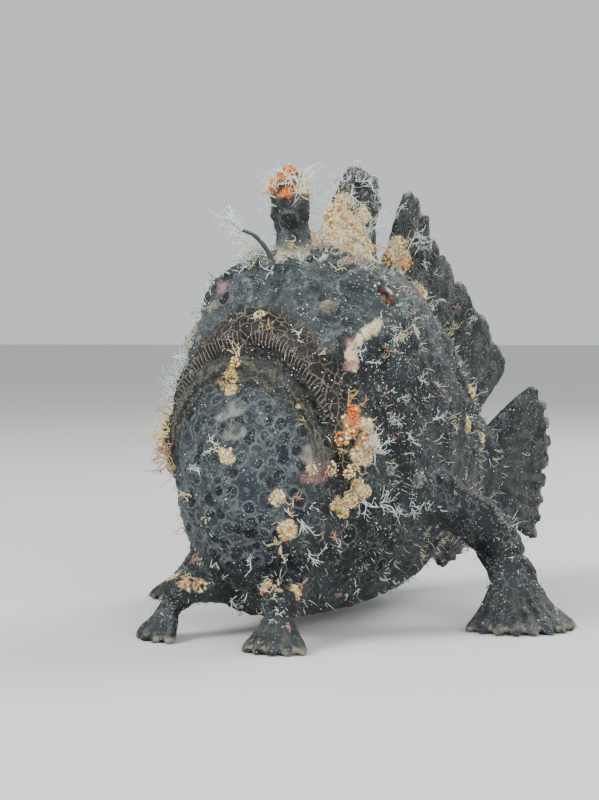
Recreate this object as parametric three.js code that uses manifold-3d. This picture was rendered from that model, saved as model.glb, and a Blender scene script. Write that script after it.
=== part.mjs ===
// A painted frogfish sitting on its fins, as a life-size still model.
// Millimetres. X points to the fish's left, Y runs from snout to tail, Z is up from the floor.
// Y = 0 is the top of the upper lip, and the origin is moved under the middle of the whole fish at the end.
import * as THREE from "three";
import { mergeVertices } from "three/addons/utils/BufferGeometryUtils.js";
import Module from "manifold-3d";

const wasm = await Module();
wasm.setup();

// Driving dimensions
const GAP = 0.3;
const TAIL_BEND = 7;
const BEND_START = 50;
const TAIL_BASE = 114;
const HEAD_END = 29;
const TORSO_END = 91;
const MOUTH = { halfWidth: 23.6, rise: 29.5, cornerZ: 43, backY: 1, backLean: 0.15 };
const EYE = { y: 19, turn: 48, radius: 4.3, sunk: 2.2 };
const SKIN_RINGS = 29;
const SKIN_SEGMENTS = 36;
const FRONT_CROWDING = 1.3;

// Body sections from the chin's tip to the tail's end: y, top z, bottom z, widest z, half width
const SECTIONS = [
  [-17.0, 38.0, 38.0, 38.0, 0.0],
  [-16.2, 47.0, 29.0, 38.0, 7.0],
  [-13.5, 56.0, 20.5, 39.0, 13.2],
  [-9.0, 65.5, 13.5, 41.0, 18.6],
  [-3.5, 75.0, 8.2, 43.0, 23.0],
  [2.0, 83.5, 5.5, 44.0, 26.0],
  [9.0, 92.0, 3.8, 46.0, 28.2],
  [18.0, 96.5, 2.8, 49.0, 29.5],
  [30.0, 98.0, 2.4, 50.0, 30.0],
  [45.0, 97.0, 2.6, 50.0, 29.0],
  [60.0, 92.5, 4.2, 50.0, 26.0],
  [75.0, 84.5, 8.5, 48.0, 20.5],
  [90.0, 72.5, 15.5, 44.0, 14.0],
  [102.0, 59.0, 20.5, 40.0, 9.5],
  [110.0, 50.5, 24.0, 37.5, 7.2],
  [116.0, 46.5, 25.5, 36.0, 5.2],
  [118.0, 36.0, 36.0, 36.0, 0.0],
];
const LAST = SECTIONS.length - 1;

// Small helpers
const V = (x, y, z) => new THREE.Vector3(x, y, z);
const lerp = THREE.MathUtils.lerp;
const radians = THREE.MathUtils.degToRad;
const step = (low, high, v) => THREE.MathUtils.smoothstep(v, low, high);
const bell = (distance, reach) => Math.exp(-((distance / reach) ** 2));
const power = (v, exponent) => Math.sign(v) * Math.abs(v) ** exponent;
const bend = (y) => TAIL_BEND * (Math.max(0, y - BEND_START) / (TAIL_BASE - BEND_START)) ** 2;

// A seeded generator, so that each build draws the same small variations.
function makeRandom(seed) {
  let state = seed;
  return (low = 0, high = 1) => {
    state = (state * 1664525 + 1013904223) % 4294967296;
    return low + ((high - low) * state) / 4294967296;
  };
}

// One column of a section past either pole: y is mirrored there, the sizes change sign about the pole.
function sectionValue(index, column) {
  if (index >= 0 && index <= LAST) return SECTIONS[index][column];
  const pole = index < 0 ? 0 : LAST;
  const mirrored = SECTIONS[2 * pole - index][column];
  return column === 0 ? mirrored : 2 * SECTIONS[pole][column] - mirrored;
}

// The section at a place along the list, by a Catmull-Rom curve through each column.
function sectionAt(place) {
  const whole = Math.min(LAST - 1, Math.max(0, Math.floor(place)));
  const t = place - whole;
  return SECTIONS[0].map((_, column) => {
    const [a, b, c, d] = [-1, 0, 1, 2].map((k) => sectionValue(whole + k, column));
    return b + 0.5 * t * (c - a + t * (2 * a - 5 * b + 4 * c - d + t * (3 * (b - c) + d - a)));
  });
}

// The place along the list where the body reaches a given y.
function placeOf(y) {
  let low = 0;
  let high = LAST;
  for (let i = 0; i < 40; i++) {
    const middle = (low + high) / 2;
    if (sectionAt(middle)[0] < y) low = middle;
    else high = middle;
  }
  return low;
}

// A point of the smooth body: each section is a superellipse, squarer across the brow.
function bodyPoint(place, turn) {
  const [y, top, bottom, widest, half] = sectionAt(place);
  const c = Math.cos(turn);
  const s = Math.sin(turn);
  const exponent = c > 0 ? 1 - 0.2 * bell(y - 18, 24) : 1;
  const height = c > 0 ? top - widest : widest - bottom;
  return V(bend(y) + half * power(s, exponent), y, widest + height * power(c, exponent));
}

function bodyNormal(place, turn) {
  if (place < 0.02) return V(0, -1, 0);
  if (place > LAST - 0.02) return V(0, 1, 0);
  const d = 0.01;
  const across = bodyPoint(place, turn + d).sub(bodyPoint(place, turn - d));
  const along = bodyPoint(place + d, turn).sub(bodyPoint(place - d, turn));
  return across.cross(along).normalize();
}

// Where a front-facing point lies across the lips: -1 under the lower lip, 0 on the mouth line, 1 above.
function lipPlace(p) {
  const x = p.x / MOUTH.halfWidth;
  const z = (p.z - MOUTH.cornerZ) / MOUTH.rise;
  const band = lerp(0.12, 0.26, Math.sin(Math.atan2(z, Math.abs(x))) ** 2);
  return (Math.hypot(x, z) - 1) / band;
}

function distanceToSegment(p, a, b) {
  return new THREE.Line3(a, b).closestPointToPoint(p, true, V(0, 0, 0)).distanceTo(p);
}

// Lips, brow, eye rim, snout knob, cheek fold and hollow, shoulder, throat and a lumpy skin
const CHEEK_FOLD = [V(24.5, 15, 77), V(28, 5, 65), V(28, 3, 51)];
function relief(point) {
  const p = V(Math.abs(point.x - bend(point.y)), point.y, point.z);
  const far = (x, y, z) => p.distanceTo(V(x, y, z));
  const lips = lipPlace(p);
  const front = step(14, 4, p.y) * step(MOUTH.cornerZ - 5, MOUTH.cornerZ + 2, p.z);
  const mouth = 0.8 * bell(lips - 0.55, 0.5) + 0.6 * bell(lips + 0.5, 0.5) - 1.4 * bell(lips + 1.4, 0.4);
  const eyeDistance = far(25.2, 19, 85);
  const fold = Math.min(
    distanceToSegment(p, CHEEK_FOLD[0], CHEEK_FOLD[1]),
    distanceToSegment(p, CHEEK_FOLD[1], CHEEK_FOLD[2]),
  );
  const lumps =
    Math.sin(point.x * 0.31 + point.z * 0.17) * Math.sin(point.y * 0.23 + 1.7) +
    0.6 * Math.sin(point.x * 0.13 - point.y * 0.37 + point.z * 0.41);
  return (
    front * mouth +
    3.2 * bell(far(22, 19, 84), 8.5) +
    1.3 * bell(eyeDistance - 5.6, 1.2) +
    2.4 * bell(far(0, 6, 91), 4.5) -
    1.6 * bell(far(9, 13, 96), 6) +
    2.2 * bell(fold, 2.6) -
    3.4 * bell(far(30, 18, 63), 9.5) +
    2.6 * bell(far(28, 40, 34), 11) +
    1.6 * bell(far(8, 2, 6), 7) +
    0.45 * lumps * step(4, 12, p.z)
  );
}

// A point of the skin, with the outward direction there. grow stands it off the skin.
function skinPoint(place, turn, grow = 0) {
  const normal = bodyNormal(place, turn);
  const base = bodyPoint(place, turn);
  return { point: base.clone().addScaledVector(normal, relief(base) + grow), normal };
}
const onSkin = (y, degrees, grow = 0) => skinPoint(placeOf(y), radians(degrees), grow);

// From a three.js geometry to a solid and back
function solid(geometry) {
  const shape = geometry.clone();
  for (const name of Object.keys(shape.attributes)) if (name !== "position") shape.deleteAttribute(name);
  const merged = mergeVertices(shape, 1e-4);
  const make = (triVerts) =>
    new wasm.Manifold(
      new wasm.Mesh({ numProp: 3, vertProperties: merged.attributes.position.array, triVerts }),
    );
  const corners = new Uint32Array(merged.index.array);
  const made = make(corners);
  return made.volume() > 0 ? made : make(corners.reverse());
}

function largest(shape) {
  return shape.decompose().reduce((a, b) => (b.volume() > a.volume() ? b : a));
}

function toGeometry(shape) {
  const mesh = largest(shape).getMesh();
  const geometry = new THREE.BufferGeometry();
  geometry.setAttribute("position", new THREE.BufferAttribute(new Float32Array(mesh.vertProperties), 3));
  geometry.setIndex(new THREE.BufferAttribute(new Uint32Array(mesh.triVerts), 1));
  geometry.computeVertexNormals();
  return geometry;
}

// Moves each vertex of a geometry to where place(u, v, x, y, z) puts it.
function reshape(geometry, place) {
  const { position, uv } = geometry.attributes;
  for (let i = 0; i < position.count; i++) {
    const p = place(uv.getX(i), 1 - uv.getY(i), position.getX(i), position.getY(i), position.getZ(i));
    position.setXYZ(i, p.x, p.y, p.z);
  }
  return geometry;
}

function bodySolid(grow) {
  const ball = new THREE.SphereGeometry(1, SKIN_SEGMENTS, SKIN_RINGS);
  const { position } = ball.attributes;
  const columns = SKIN_SEGMENTS + 1;
  for (let i = 0; i < position.count; i++) {
    const v = Math.floor(i / columns) / SKIN_RINGS;
    const turn = ((i % columns) % SKIN_SEGMENTS) * ((2 * Math.PI) / SKIN_SEGMENTS);
    const p = skinPoint(LAST * v ** FRONT_CROWDING, turn, grow).point;
    position.setXYZ(i, p.x, p.y, p.z);
  }
  return solid(ball);
}

// A round limb along a smooth path. size(v, angle) gives its two half widths at v from root to end.
function limb(points, size, sides, rings, reference = V(0, 1, 0)) {
  const path = new THREE.CatmullRomCurve3(points);
  const tube = new THREE.CylinderGeometry(1, 1, 1, sides, rings);
  return solid(
    reshape(tube, (_u, _v, x, y, z) => {
      const v = y + 0.5;
      const tangent = path.getTangent(v);
      const sideways = tangent.clone().cross(reference).normalize();
      const forward = sideways.clone().cross(tangent);
      const [a, b] = size(v, Math.atan2(z, x));
      return path.getPoint(v).addScaledVector(sideways, a * x).addScaledVector(forward, b * z);
    }),
  );
}

// A fin of rays: root(a) and tip(a) run along it, ridges rise over each ray, and the edge is scalloped.
function fin({ rays, root, tip, camber = () => V(0, 0, 0), rootThick, tipThick, scallop = 0.08, rows = 6 }) {
  const columns = rays * 2;
  const box = new THREE.BoxGeometry(1, 1, 1, columns, rows, 1);
  const index = box.index.array;
  const back = box.groups[5];
  for (let i = back.start; i < back.start + back.count; i += 6) {
    const [a, b, d, , c] = index.slice(i, i + 6);
    index.set([a, b, c, a, c, d], i);
  }
  const pulse = (a) => Math.sin(Math.PI * a * rays) ** 2;
  const middle = (a, b) => {
    const reach = b * (1 - scallop * (1 - pulse(a)));
    return root(a).lerp(tip(a), reach).add(camber(a, reach));
  };
  return solid(
    reshape(box, (_u, _v, x, y, z) => {
      const a = x + 0.5;
      const b = y + 0.5;
      const d = 0.004;
      const along = middle(a + d, b).sub(middle(a - d, b));
      const outward = middle(a, b + d).sub(middle(a, b - d));
      const normal = along.cross(outward).normalize();
      const thick = lerp(rootThick, tipThick, b) * (0.48 + 0.52 * pulse(a));
      return middle(a, b).addScaledVector(normal, thick * z);
    }),
  );
}

// Warts: low domes set on the skin. Each is y along the body, degrees round from the top, radius, height.
const WARTS = {
  head: [
    [6, 76, 2.6, 2.4], [8, 66, 2.2, 1.8], [5, 85, 3.0, 2.8], [7, 98, 2.8, 2.6], [4, -74, 2.6, 2.4],
    [6, -88, 3.0, 2.8], [9, 24, 1.8, 1.4], [22, 96, 2.6, 1.6], [20, -100, 2.6, 1.6], [24, 62, 2.0, 1.4],
  ],
  jaw: [
    [-15.4, 12, 2.4, 2.2], [-12.2, 104, 2.2, 2.4], [-9.4, 121, 2.6, 2.6], [-8.8, -14, 2.4, 2.4],
    [-10.5, -114, 2.2, 2.0],
  ],
  torso: [
    [62, 26, 3.4, 2.2], [66, 88, 2.4, 1.6], [58, -60, 2.2, 1.6], [74, -96, 2.2, 1.4], [78, 70, 2.0, 1.4],
    [34, 60, 2.2, 1.5], [62, -114, 2.6, 1.6],
  ],
  tail: [[98, 80, 1.8, 1.2], [103, -86, 1.8, 1.2]],
};
const WART_SIDES = 6;

function wart([y, degrees, radius, height], grow) {
  const { point, normal } = onSkin(y, degrees);
  const r = radius + grow;
  const outline = [[0, -1.6], [r, -1.2], [r * 0.85, height * 0.65 + grow], [0, height * 1.1 + grow]];
  const dome = new THREE.LatheGeometry(outline.map(([x, h]) => new THREE.Vector2(x, h)), WART_SIDES);
  const turned = new THREE.Quaternion().setFromUnitVectors(V(0, 1, 0), normal);
  return solid(dome.applyQuaternion(turned).translate(point.x, point.y, point.z));
}

// Skin tufts: tapered prongs that fan out from one root. y, degrees, prongs, length, how far they spread
const TUFTS = {
  head: [
    [4, 80, 4, 7, 0.8], [8, 104, 3, 6, 0.8], [3, -78, 4, 9, 0.7], [6, -94, 3, 8, 0.8], [14, 58, 3, 6, 0.7],
    [15, -64, 2, 5, 0.6], [20, 112, 3, 6, 0.9],
  ],
  jaw: [[-8.6, -14, 3, 5, 0.8], [-12, -70, 2, 4, 0.6], [-10.5, 94, 2, 5, 0.7]],
  torso: [[54, 90, 3, 6, 0.8], [58, -96, 3, 7, 0.9], [72, 108, 3, 6, 0.8], [64, 40, 3, 6, 0.7]],
  tail: [[100, 118, 3, 5, 0.8], [99, -118, 3, 5, 0.8]],
};

// Prongs of one tuft, each a curved taper that starts inside what it grows from.
function prongs(point, normal, count, length, spread, seed) {
  const random = makeRandom(seed);
  const side = normal.clone().cross(V(0.3, 0.2, 1)).normalize();
  const across = normal.clone().cross(side);
  return Array.from({ length: count }, (_, k) => {
    const turn = (2 * Math.PI * (k + random(0.1, 0.6))) / count;
    const lean = side.clone().multiplyScalar(Math.cos(turn)).addScaledVector(across, Math.sin(turn));
    const reach = length * random(0.7, 1.1);
    const points = [-1.6, 0.45 * reach, reach].map((h) =>
      point.clone().addScaledVector(normal, h).addScaledVector(lean, (spread * Math.max(0, h) ** 1.5) / reach ** 0.5),
    );
    return limb(points, (v) => [lerp(0.95, 0.3, v), lerp(0.65, 0.3, v)], 4, 3, V(0.31, 0.52, 0.79));
  });
}

function growths(part, grow = 0) {
  const tufts = TUFTS[part].map(([y, degrees, count, length, spread], i) => {
    const { point, normal } = onSkin(y, degrees);
    return prongs(point, normal, count, length, spread, 100 * part.length + 7 * i + 1);
  });
  return [...WARTS[part].map((row) => wart(row, grow)), ...tufts.flat()];
}

const join = (shapes) => shapes.reduce((a, b) => a.add(b));

// The body, parted by thin cuts into jaw, head, torso and tail base
const body = bodySolid(0);
const aroundBody = bodySolid(GAP);

function halfSpace(y, lean, towardsTail) {
  const size = 400;
  const block = new THREE.BoxGeometry(size, size, size).translate(0, towardsTail ? size / 2 : -size / 2, 0);
  return solid(block.rotateX(-Math.atan(lean)).translate(0, y, MOUTH.cornerZ));
}

// The space of the lower jaw: an arch as wide as the mouth over a block that is wider than the throat.
function jawSpace(grow) {
  const arch = new THREE.Shape();
  const wide = 60;
  const low = -20;
  arch.moveTo(-wide, low);
  arch.lineTo(wide, low);
  arch.lineTo(wide, MOUTH.cornerZ + grow);
  arch.absellipse(0, MOUTH.cornerZ + grow, MOUTH.halfWidth + grow, MOUTH.rise, 0, Math.PI);
  arch.lineTo(-wide, MOUTH.cornerZ + grow);
  const block = new THREE.ExtrudeGeometry(arch, { depth: 80, bevelEnabled: false, curveSegments: 20 });
  const upright = block.rotateX(Math.PI / 2).translate(0, 40, 0);
  return solid(upright).intersect(halfSpace(MOUTH.backY + grow, MOUTH.backLean, false));
}

function eyeAt(side) {
  const { point, normal } = onSkin(EYE.y, side * EYE.turn);
  return point.addScaledVector(normal, -EYE.sunk);
}

function ball(centre, radius) {
  return solid(new THREE.SphereGeometry(radius, 14, 8).translate(centre.x, centre.y, centre.z));
}

// A short tube of skin with a pit in its mouth: a nostril, or wider, the gill's pore behind the arm
function pitted(y, degrees, radius) {
  const { point, normal } = onSkin(y, degrees);
  const outline = [[0, -1.5], [1, -1.5], [0.8, 1.5], [0.47, 1.6], [0.33, 0.6], [0, 0.5]];
  const tube = new THREE.LatheGeometry(outline.map(([x, h]) => new THREE.Vector2(x * radius, h)), 8);
  const turned = new THREE.Quaternion().setFromUnitVectors(V(0, 1, 0), normal);
  return solid(tube.applyQuaternion(turned).translate(point.x, point.y, point.z));
}
const nostril = (side) => pitted(6, side * 34, 1.5);
const gillPore = (side) => pitted(53, side * 119, 2.3);
const mirror = (v, side) => V(side * v.x, v.y, v.z);

// A lip is a soft roll laid along the skin at one place across the lips, thinning towards the corners.
function lipRoll(across, thickness) {
  const points = Array.from({ length: 19 }, (_, k) => {
    const turn = radians(lerp(-98, 98, k / 18));
    let low = 0;
    let high = 7;
    for (let i = 0; i < 30; i++) {
      const middle = (low + high) / 2;
      if (lipPlace(bodyPoint(middle, turn)) < across) low = middle;
      else high = middle;
    }
    return skinPoint(low, turn, -0.4).point;
  });
  const size = (v) => thickness * (0.45 + 0.55 * Math.sin(Math.PI * v) ** 0.7);
  return limb(points, (v) => [size(v), 0.8 * size(v)], 6, 17, V(0, -1, 0.001));
}

// The rim of skin round each eye
function lid(side) {
  const { normal } = onSkin(EYE.y, side * EYE.turn);
  const ring = new THREE.TorusGeometry(5, 1.05, 5, 12);
  ring.applyQuaternion(new THREE.Quaternion().setFromUnitVectors(V(0, 0, 1), normal));
  const centre = eyeAt(side).addScaledVector(normal, 1.7);
  return solid(ring.translate(centre.x, centre.y, centre.z));
}

// A soft flap of skin that runs from under each eye down the cheek
const FLAP = [V(27.4, 15, 79.5), V(26.4, 11.6, 76.6), V(24.8, 8.8, 74.2), V(23.6, 6.8, 71.1), V(23.8, 6, 67.6)];
function cheekFlap(side) {
  const size = (v) => 0.5 + 1.5 * Math.sin(Math.PI * v) ** 0.6;
  return limb(FLAP.map((p) => mirror(p, side)), (v) => [size(v), size(v)], 6, 6, V(0.3, 1, 0.1));
}

const faceForms = [-1, 1].flatMap((side) => [nostril(side), lid(side), cheekFlap(side)]);
const whole = join([body, lipRoll(0.5, 2.6), ...growths("head"), ...faceForms]);
const sockets = join([-1, 1].map((side) => ball(eyeAt(side), EYE.radius + GAP)));
const head = whole
  .subtract(jawSpace(GAP))
  .intersect(halfSpace(HEAD_END - GAP / 2, 0, false))
  .subtract(sockets);
const jaw = join([body, lipRoll(-0.55, 2.3), ...growths("jaw")]).intersect(jawSpace(0));
const torso = join([body, ...growths("torso"), gillPore(1), gillPore(-1)])
  .subtract(halfSpace(HEAD_END + GAP / 2, 0, false))
  .intersect(halfSpace(TORSO_END - GAP / 2, 0, false));
const tailBase = join([body, ...growths("tail")]).intersect(halfSpace(TORSO_END + GAP / 2, 0, true));

// Fishing rod and lure, held out over the mouth
const ROD_END = V(0, -8.2, 101.4);
const rod = limb(
  [V(0, 8, 89), V(0, 5.5, 95.5), V(0, -1, 100), ROD_END],
  (v) => [lerp(1.5, 0.5, v ** 0.5), lerp(1.5, 0.5, v ** 0.5)],
  8,
  8,
  V(1, 0, 0),
).subtract(aroundBody);
const lureRoot = V(0, -9.2, 101.9);
const lureCore = solid(new THREE.SphereGeometry(1.1, 8, 6).translate(lureRoot.x, lureRoot.y - 0.4, lureRoot.z + 0.2));
const lureHairs = [
  [V(-2.5, -15.5, 113), 0.45], [V(2, -14, 106), 0.5], [V(-3, -14.5, 102), 0.5], [V(1, -15.5, 99), 0.5],
  [V(-1, -11, 108), 0.5], [V(3, -12.5, 100.5), 0.5],
].map(([end, radius]) => {
  const start = lureRoot.clone();
  const knee = start.clone().lerp(end, 0.5).add(V(0, -0.8, -0.6));
  return limb([start, knee, end], (v) => [lerp(radius, 0.27, v), lerp(radius, 0.27, v)], 4, 3, V(1, 0, 0));
});
const lure = join([lureCore, ...lureHairs]).subtract(ball(ROD_END, 0.78));

// Second dorsal spine: a fleshy post with a web of skin behind it and a ragged orange cap
const SPINE_TWO = [V(0, 17.5, 88), V(0, 17, 97), V(0, 15.5, 106), V(0, 14.8, 112.5)];
const spineTwoPost = limb(
  SPINE_TWO,
  (v, angle) => {
    const rounded = Math.sqrt(Math.max(0.04, 1 - Math.max(0, (v - 0.86) / 0.14) ** 2));
    const behind = Math.max(0, Math.sin(angle)) ** 2;
    return [4.9 * rounded * (1 - 0.35 * behind), (4.6 + 9 * behind * (1 - v) ** 1.2) * rounded];
  },
  12,
  8,
  V(0, 1, 0),
);
const capTop = SPINE_TWO[3];
const cap = [0, 1, 2, 3].map((k) => {
  const turn = (2 * Math.PI * k) / 4;
  const centre = V(2.6 * Math.cos(turn), capTop.y + 2.6 * Math.sin(turn), capTop.z - 0.8 + 0.5 * (k % 2));
  return solid(new THREE.SphereGeometry(2.6, 8, 6).translate(centre.x, centre.y, centre.z));
});
const capTufts = [
  [V(-3.4, capTop.y, capTop.z), V(-0.6, -0.3, 0.75), 3, 6.5, 11], [V(3.2, capTop.y, capTop.z), V(0.5, -0.2, 0.85), 3, 8, 12],
  [V(0, capTop.y + 2.5, capTop.z), V(0.2, 0.5, 0.85), 3, 7, 13], [V(0.5, capTop.y - 2.5, capTop.z), V(0, -0.8, 0.6), 3, 5, 14],
].flatMap(([root, way, count, length, seed]) => prongs(root, way.normalize(), count, length, 0.6, seed));
const spineTwo = join([spineTwoPost, ...cap, ...capTufts]).subtract(join([aroundBody, rodGuard()]));

// Room for the rod's root in front of the second spine
function rodGuard() {
  return limb([V(0, 8, 89), V(0, 5.5, 95.5), V(0, -1, 100)], () => [1.9, 1.9], 8, 4, V(1, 0, 0));
}

// Third dorsal spine: a broad backward-leaning hump of thick skin
const SPINE_THREE = [V(0, 44, 86), V(0, 44.5, 97), V(0, 47.5, 109), V(0, 52.5, 120.5)];
const spineThreePost = limb(
  SPINE_THREE,
  (v, angle) => {
    const rounded = Math.sqrt(Math.max(0.03, 1 - Math.max(0, (v - 0.82) / 0.18) ** 2));
    const lump = 1 + 0.06 * Math.sin(3 * angle + 9 * v);
    return [lerp(8.5, 3.8, v) * rounded * lump, lerp(14.5, 6.2, v ** 0.8) * rounded * lump];
  },
  14,
  9,
  V(0, 1, 0),
);
const spineThreeTufts = [
  [V(1.5, 47.5, 117.5), V(0.3, -0.5, 0.8), 3, 6, 21], [V(3.5, 51, 110), V(0.9, 0, 0.5), 3, 6, 22],
  [V(-3.5, 49, 112), V(-0.9, -0.2, 0.4), 3, 5, 23],
].flatMap(([root, way, count, length, seed]) => prongs(root, way.normalize(), count, length, 0.7, seed));
const spineThree = join([spineThreePost, ...spineThreeTufts]).subtract(join([aroundBody]));

// Soft dorsal fin along the back, its rays leaning more towards the tail
const backZ = (y) => sectionAt(placeOf(y))[1];
const bellyZ = (y) => sectionAt(placeOf(y))[2];
const DORSAL = { from: 61.5, to: 108, sunk: 3.5, front: 26.5, rear: 19, frontLean: 10, rearLean: 42, flop: 4 };
const dorsalRoot = (a) => {
  const y = lerp(DORSAL.from, DORSAL.to, a);
  return V(bend(y), y, backZ(y) - DORSAL.sunk);
};
const dorsalFin = fin({
  rays: 12,
  root: dorsalRoot,
  tip: (a) => {
    const lean = radians(lerp(DORSAL.frontLean, DORSAL.rearLean, a));
    const length = DORSAL.sunk + lerp(DORSAL.front, DORSAL.rear, Math.max(0, a) ** 1.6) - 3 * bell(a - 0.3, 0.12);
    return dorsalRoot(a).add(V(DORSAL.flop, length * Math.sin(lean), length * Math.cos(lean)));
  },
  camber: (a, b) => V(2.2 * Math.sin(8 * a + 0.6) * b * b, 0, 0),
  rootThick: 5.2,
  tipThick: 1.5,
  rows: 5,
}).subtract(join([aroundBody]));

// Tail fin: nine rays in a rounded fan that follows the tail's bend
const tailWay = V((2 * TAIL_BEND) / (TAIL_BASE - BEND_START), 1, 0).normalize();
const CAUDAL = { length: 31, spread: 36, rootHigh: 9.5, middleZ: 36 };
const caudalRoot = (a) => V(bend(TAIL_BASE), TAIL_BASE - 1.5, CAUDAL.middleZ + lerp(CAUDAL.rootHigh, -CAUDAL.rootHigh, a));
const caudalFin = fin({
  rays: 9,
  root: caudalRoot,
  tip: (a) => {
    const angle = radians(lerp(CAUDAL.spread, -CAUDAL.spread, a));
    const length = CAUDAL.length * (1 - 0.12 * (2 * a - 1) ** 2);
    return caudalRoot(a).addScaledVector(tailWay, length * Math.cos(angle)).add(V(0, 0, length * Math.sin(angle)));
  },
  camber: (a, b) => V(3.5 * b * b + 1.2 * Math.sin(7 * a) * b * b, 0, 0),
  rootThick: 4.8,
  tipThick: 1.5,
  rows: 5,
}).subtract(join([aroundBody]));

// Anal fin: seven rays that trail back under the tail
const analRoot = (a) => {
  const y = lerp(84, 107, a);
  return V(bend(y), y, bellyZ(y) + 3);
};
const analFin = fin({
  rays: 7,
  root: analRoot,
  tip: (a) => {
    const angle = radians(lerp(46, 60, a));
    const length = lerp(14, 19, a);
    return analRoot(a).add(V(1, length * Math.sin(angle), -length * Math.cos(angle)));
  },
  camber: (a, b) => V(1.2 * Math.sin(7 * a) * b * b, 0, 0),
  rootThick: 4.4,
  tipThick: 1.5,
  rows: 5,
}).subtract(join([aroundBody]));

// Arm and hand: the pectoral fin is a bent limb that ends in ten finger-like rays on the floor
const ARM = [V(21, 37, 36), V(31, 42, 32), V(40, 48, 25), V(46, 48, 16.5)];
const HAND = { wrist: V(47, 47.5, 14.5), half: 6, reach: 19, from: -112, to: 38, toeZ: 0.5 };
const floorUp = solid(new THREE.BoxGeometry(400, 400, 200).translate(0, 0, 100));

function armSolid(side, grow) {
  const end = ARM[3].clone().sub(ARM[2]).setLength(grow).add(ARM[3]);
  return limb(
    [...ARM.slice(0, 3), end].map((p) => mirror(p, side)),
    (v) => [lerp(10, 6.4, v ** 0.7) + grow, lerp(8.6, 5.4, v ** 0.7) + grow],
    14,
    9,
    V(0, 0, 1),
  );
}

function handSolid(side, swing) {
  const wrist = mirror(HAND.wrist, side);
  const way = (a) => {
    const turn = radians(lerp(HAND.from, HAND.to, a) + swing);
    return V(side * Math.cos(turn), Math.sin(turn), 0);
  };
  const root = (a) => wrist.clone().addScaledVector(way(a), HAND.half * 0.7).add(V(0, 0, 1.5));
  const palm = new THREE.SphereGeometry(5.8, 8, 5).scale(1, 1, 0.85).translate(wrist.x, wrist.y, wrist.z - 0.6);
  const rays = fin({
    rays: 10,
    root: (a) => root(a).addScaledVector(way(a), -2),
    tip: (a) => V(wrist.x, wrist.y, HAND.toeZ).addScaledVector(way(a), HAND.reach * (1 - 0.12 * (2 * a - 1) ** 2)),
    camber: (_a, b) => V(0, 0, -3.4 * Math.sin(Math.PI * b)),
    rootThick: 5.6,
    tipThick: 2.6,
    scallop: 0.14,
    rows: 4,
  });
  return rays.add(solid(palm));
}

// Pelvic fin: a short leg from the throat with five toes, set down in front of the chin
const LEG = [V(7.5, 5, 11), V(11, -3, 12.5), V(14, -11, 12.5), V(15.5, -14.5, 9)];
function pelvicSolid(side, swing) {
  const leg = limb(
    LEG.map((p) => mirror(p, side)),
    (v) => [lerp(5.6, 4.2, v), lerp(5, 4, v)],
    12,
    7,
    V(0, 0, 1),
  );
  const ankle = mirror(V(15.2, -12.5, 10), side);
  const way = (a) => {
    const turn = radians(lerp(-128, -18, a) + swing);
    return V(side * Math.cos(turn), Math.sin(turn), 0);
  };
  const toes = fin({
    rays: 5,
    root: (a) => ankle.clone().addScaledVector(way(a), 0.8),
    tip: (a) => V(ankle.x, ankle.y, 0.5).addScaledVector(way(a), 11.5),
    camber: (_a, b) => V(0, 0, -1.6 * Math.sin(Math.PI * b)),
    rootThick: 6.4,
    tipThick: 2.8,
    scallop: 0.24,
    rows: 5,
  });
  return leg.add(toes).intersect(floorUp).subtract(aroundBody);
}

// The scene graph
const materials = {
  skin: new THREE.MeshStandardMaterial({ color: 0x22282b, roughness: 0.62, metalness: 0 }),
  chin: new THREE.MeshStandardMaterial({ color: 0x2a3236, roughness: 0.6, metalness: 0 }),
  fin: new THREE.MeshStandardMaterial({ color: 0x2b2e2c, roughness: 0.6, metalness: 0 }),
  spine: new THREE.MeshStandardMaterial({ color: 0x4d4a38, roughness: 0.65, metalness: 0 }),
  lure: new THREE.MeshStandardMaterial({ color: 0xb9c2ab, roughness: 0.7, metalness: 0 }),
  eye: new THREE.MeshStandardMaterial({ color: 0x8a3b1c, roughness: 0.12, metalness: 0 }),
};

const fish = new THREE.Group();
function add(name, shape, material) {
  const mesh = new THREE.Mesh(toGeometry(shape), materials[material]);
  mesh.name = name;
  fish.add(mesh);
}

add("head", head, "skin");
add("lower_jaw", jaw, "chin");
add("torso", torso, "skin");
add("tail_base", tailBase, "skin");
add("illicium", rod, "lure");
add("esca", lure, "lure");
add("second_dorsal_spine", spineTwo, "spine");
add("third_dorsal_spine", spineThree, "spine");
add("dorsal_fin", dorsalFin, "fin");
add("caudal_fin", caudalFin, "fin");
add("anal_fin", analFin, "fin");
for (const [sideName, side, swing] of [["left", 1, 0], ["right", -1, 7]]) {
  const arm = armSolid(side, 0);
  const hand = handSolid(side, swing).intersect(floorUp).subtract(armSolid(side, GAP));
  add("eye_" + sideName, ball(eyeAt(side), EYE.radius), "eye");
  add("pectoral_arm_" + sideName, arm.subtract(aroundBody), "skin");
  add("pectoral_fin_" + sideName, hand, "fin");
  add("pelvic_fin_" + sideName, pelvicSolid(side, swing), "fin");
}

// The origin goes on the floor under the middle of the fish.
const box = new THREE.Box3().setFromObject(fish);
const centre = box.getCenter(V(0, 0, 0));
fish.position.set(-centre.x, -centre.y, -box.min.z);
const model = new THREE.Group();
model.add(fish);
export default model;
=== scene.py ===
# %% [markdown]
# # A painted frogfish, life size
# A frogfish is a round, warty anglerfish that sits on its fins as if they were hands and feet.
# This lesson dresses the plain solids of one in skin, spots, warts, tufts and eyes. Each surface is a
# formula of two numbers, worked out for a whole grid at once, in millimetres: X to the fish's left,
# Y from the snout towards the tail, Z up from the floor.

import bpy
import numpy as np
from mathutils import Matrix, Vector
from mathutils.bvhtree import BVHTree
from mathutils.kdtree import KDTree


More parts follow.
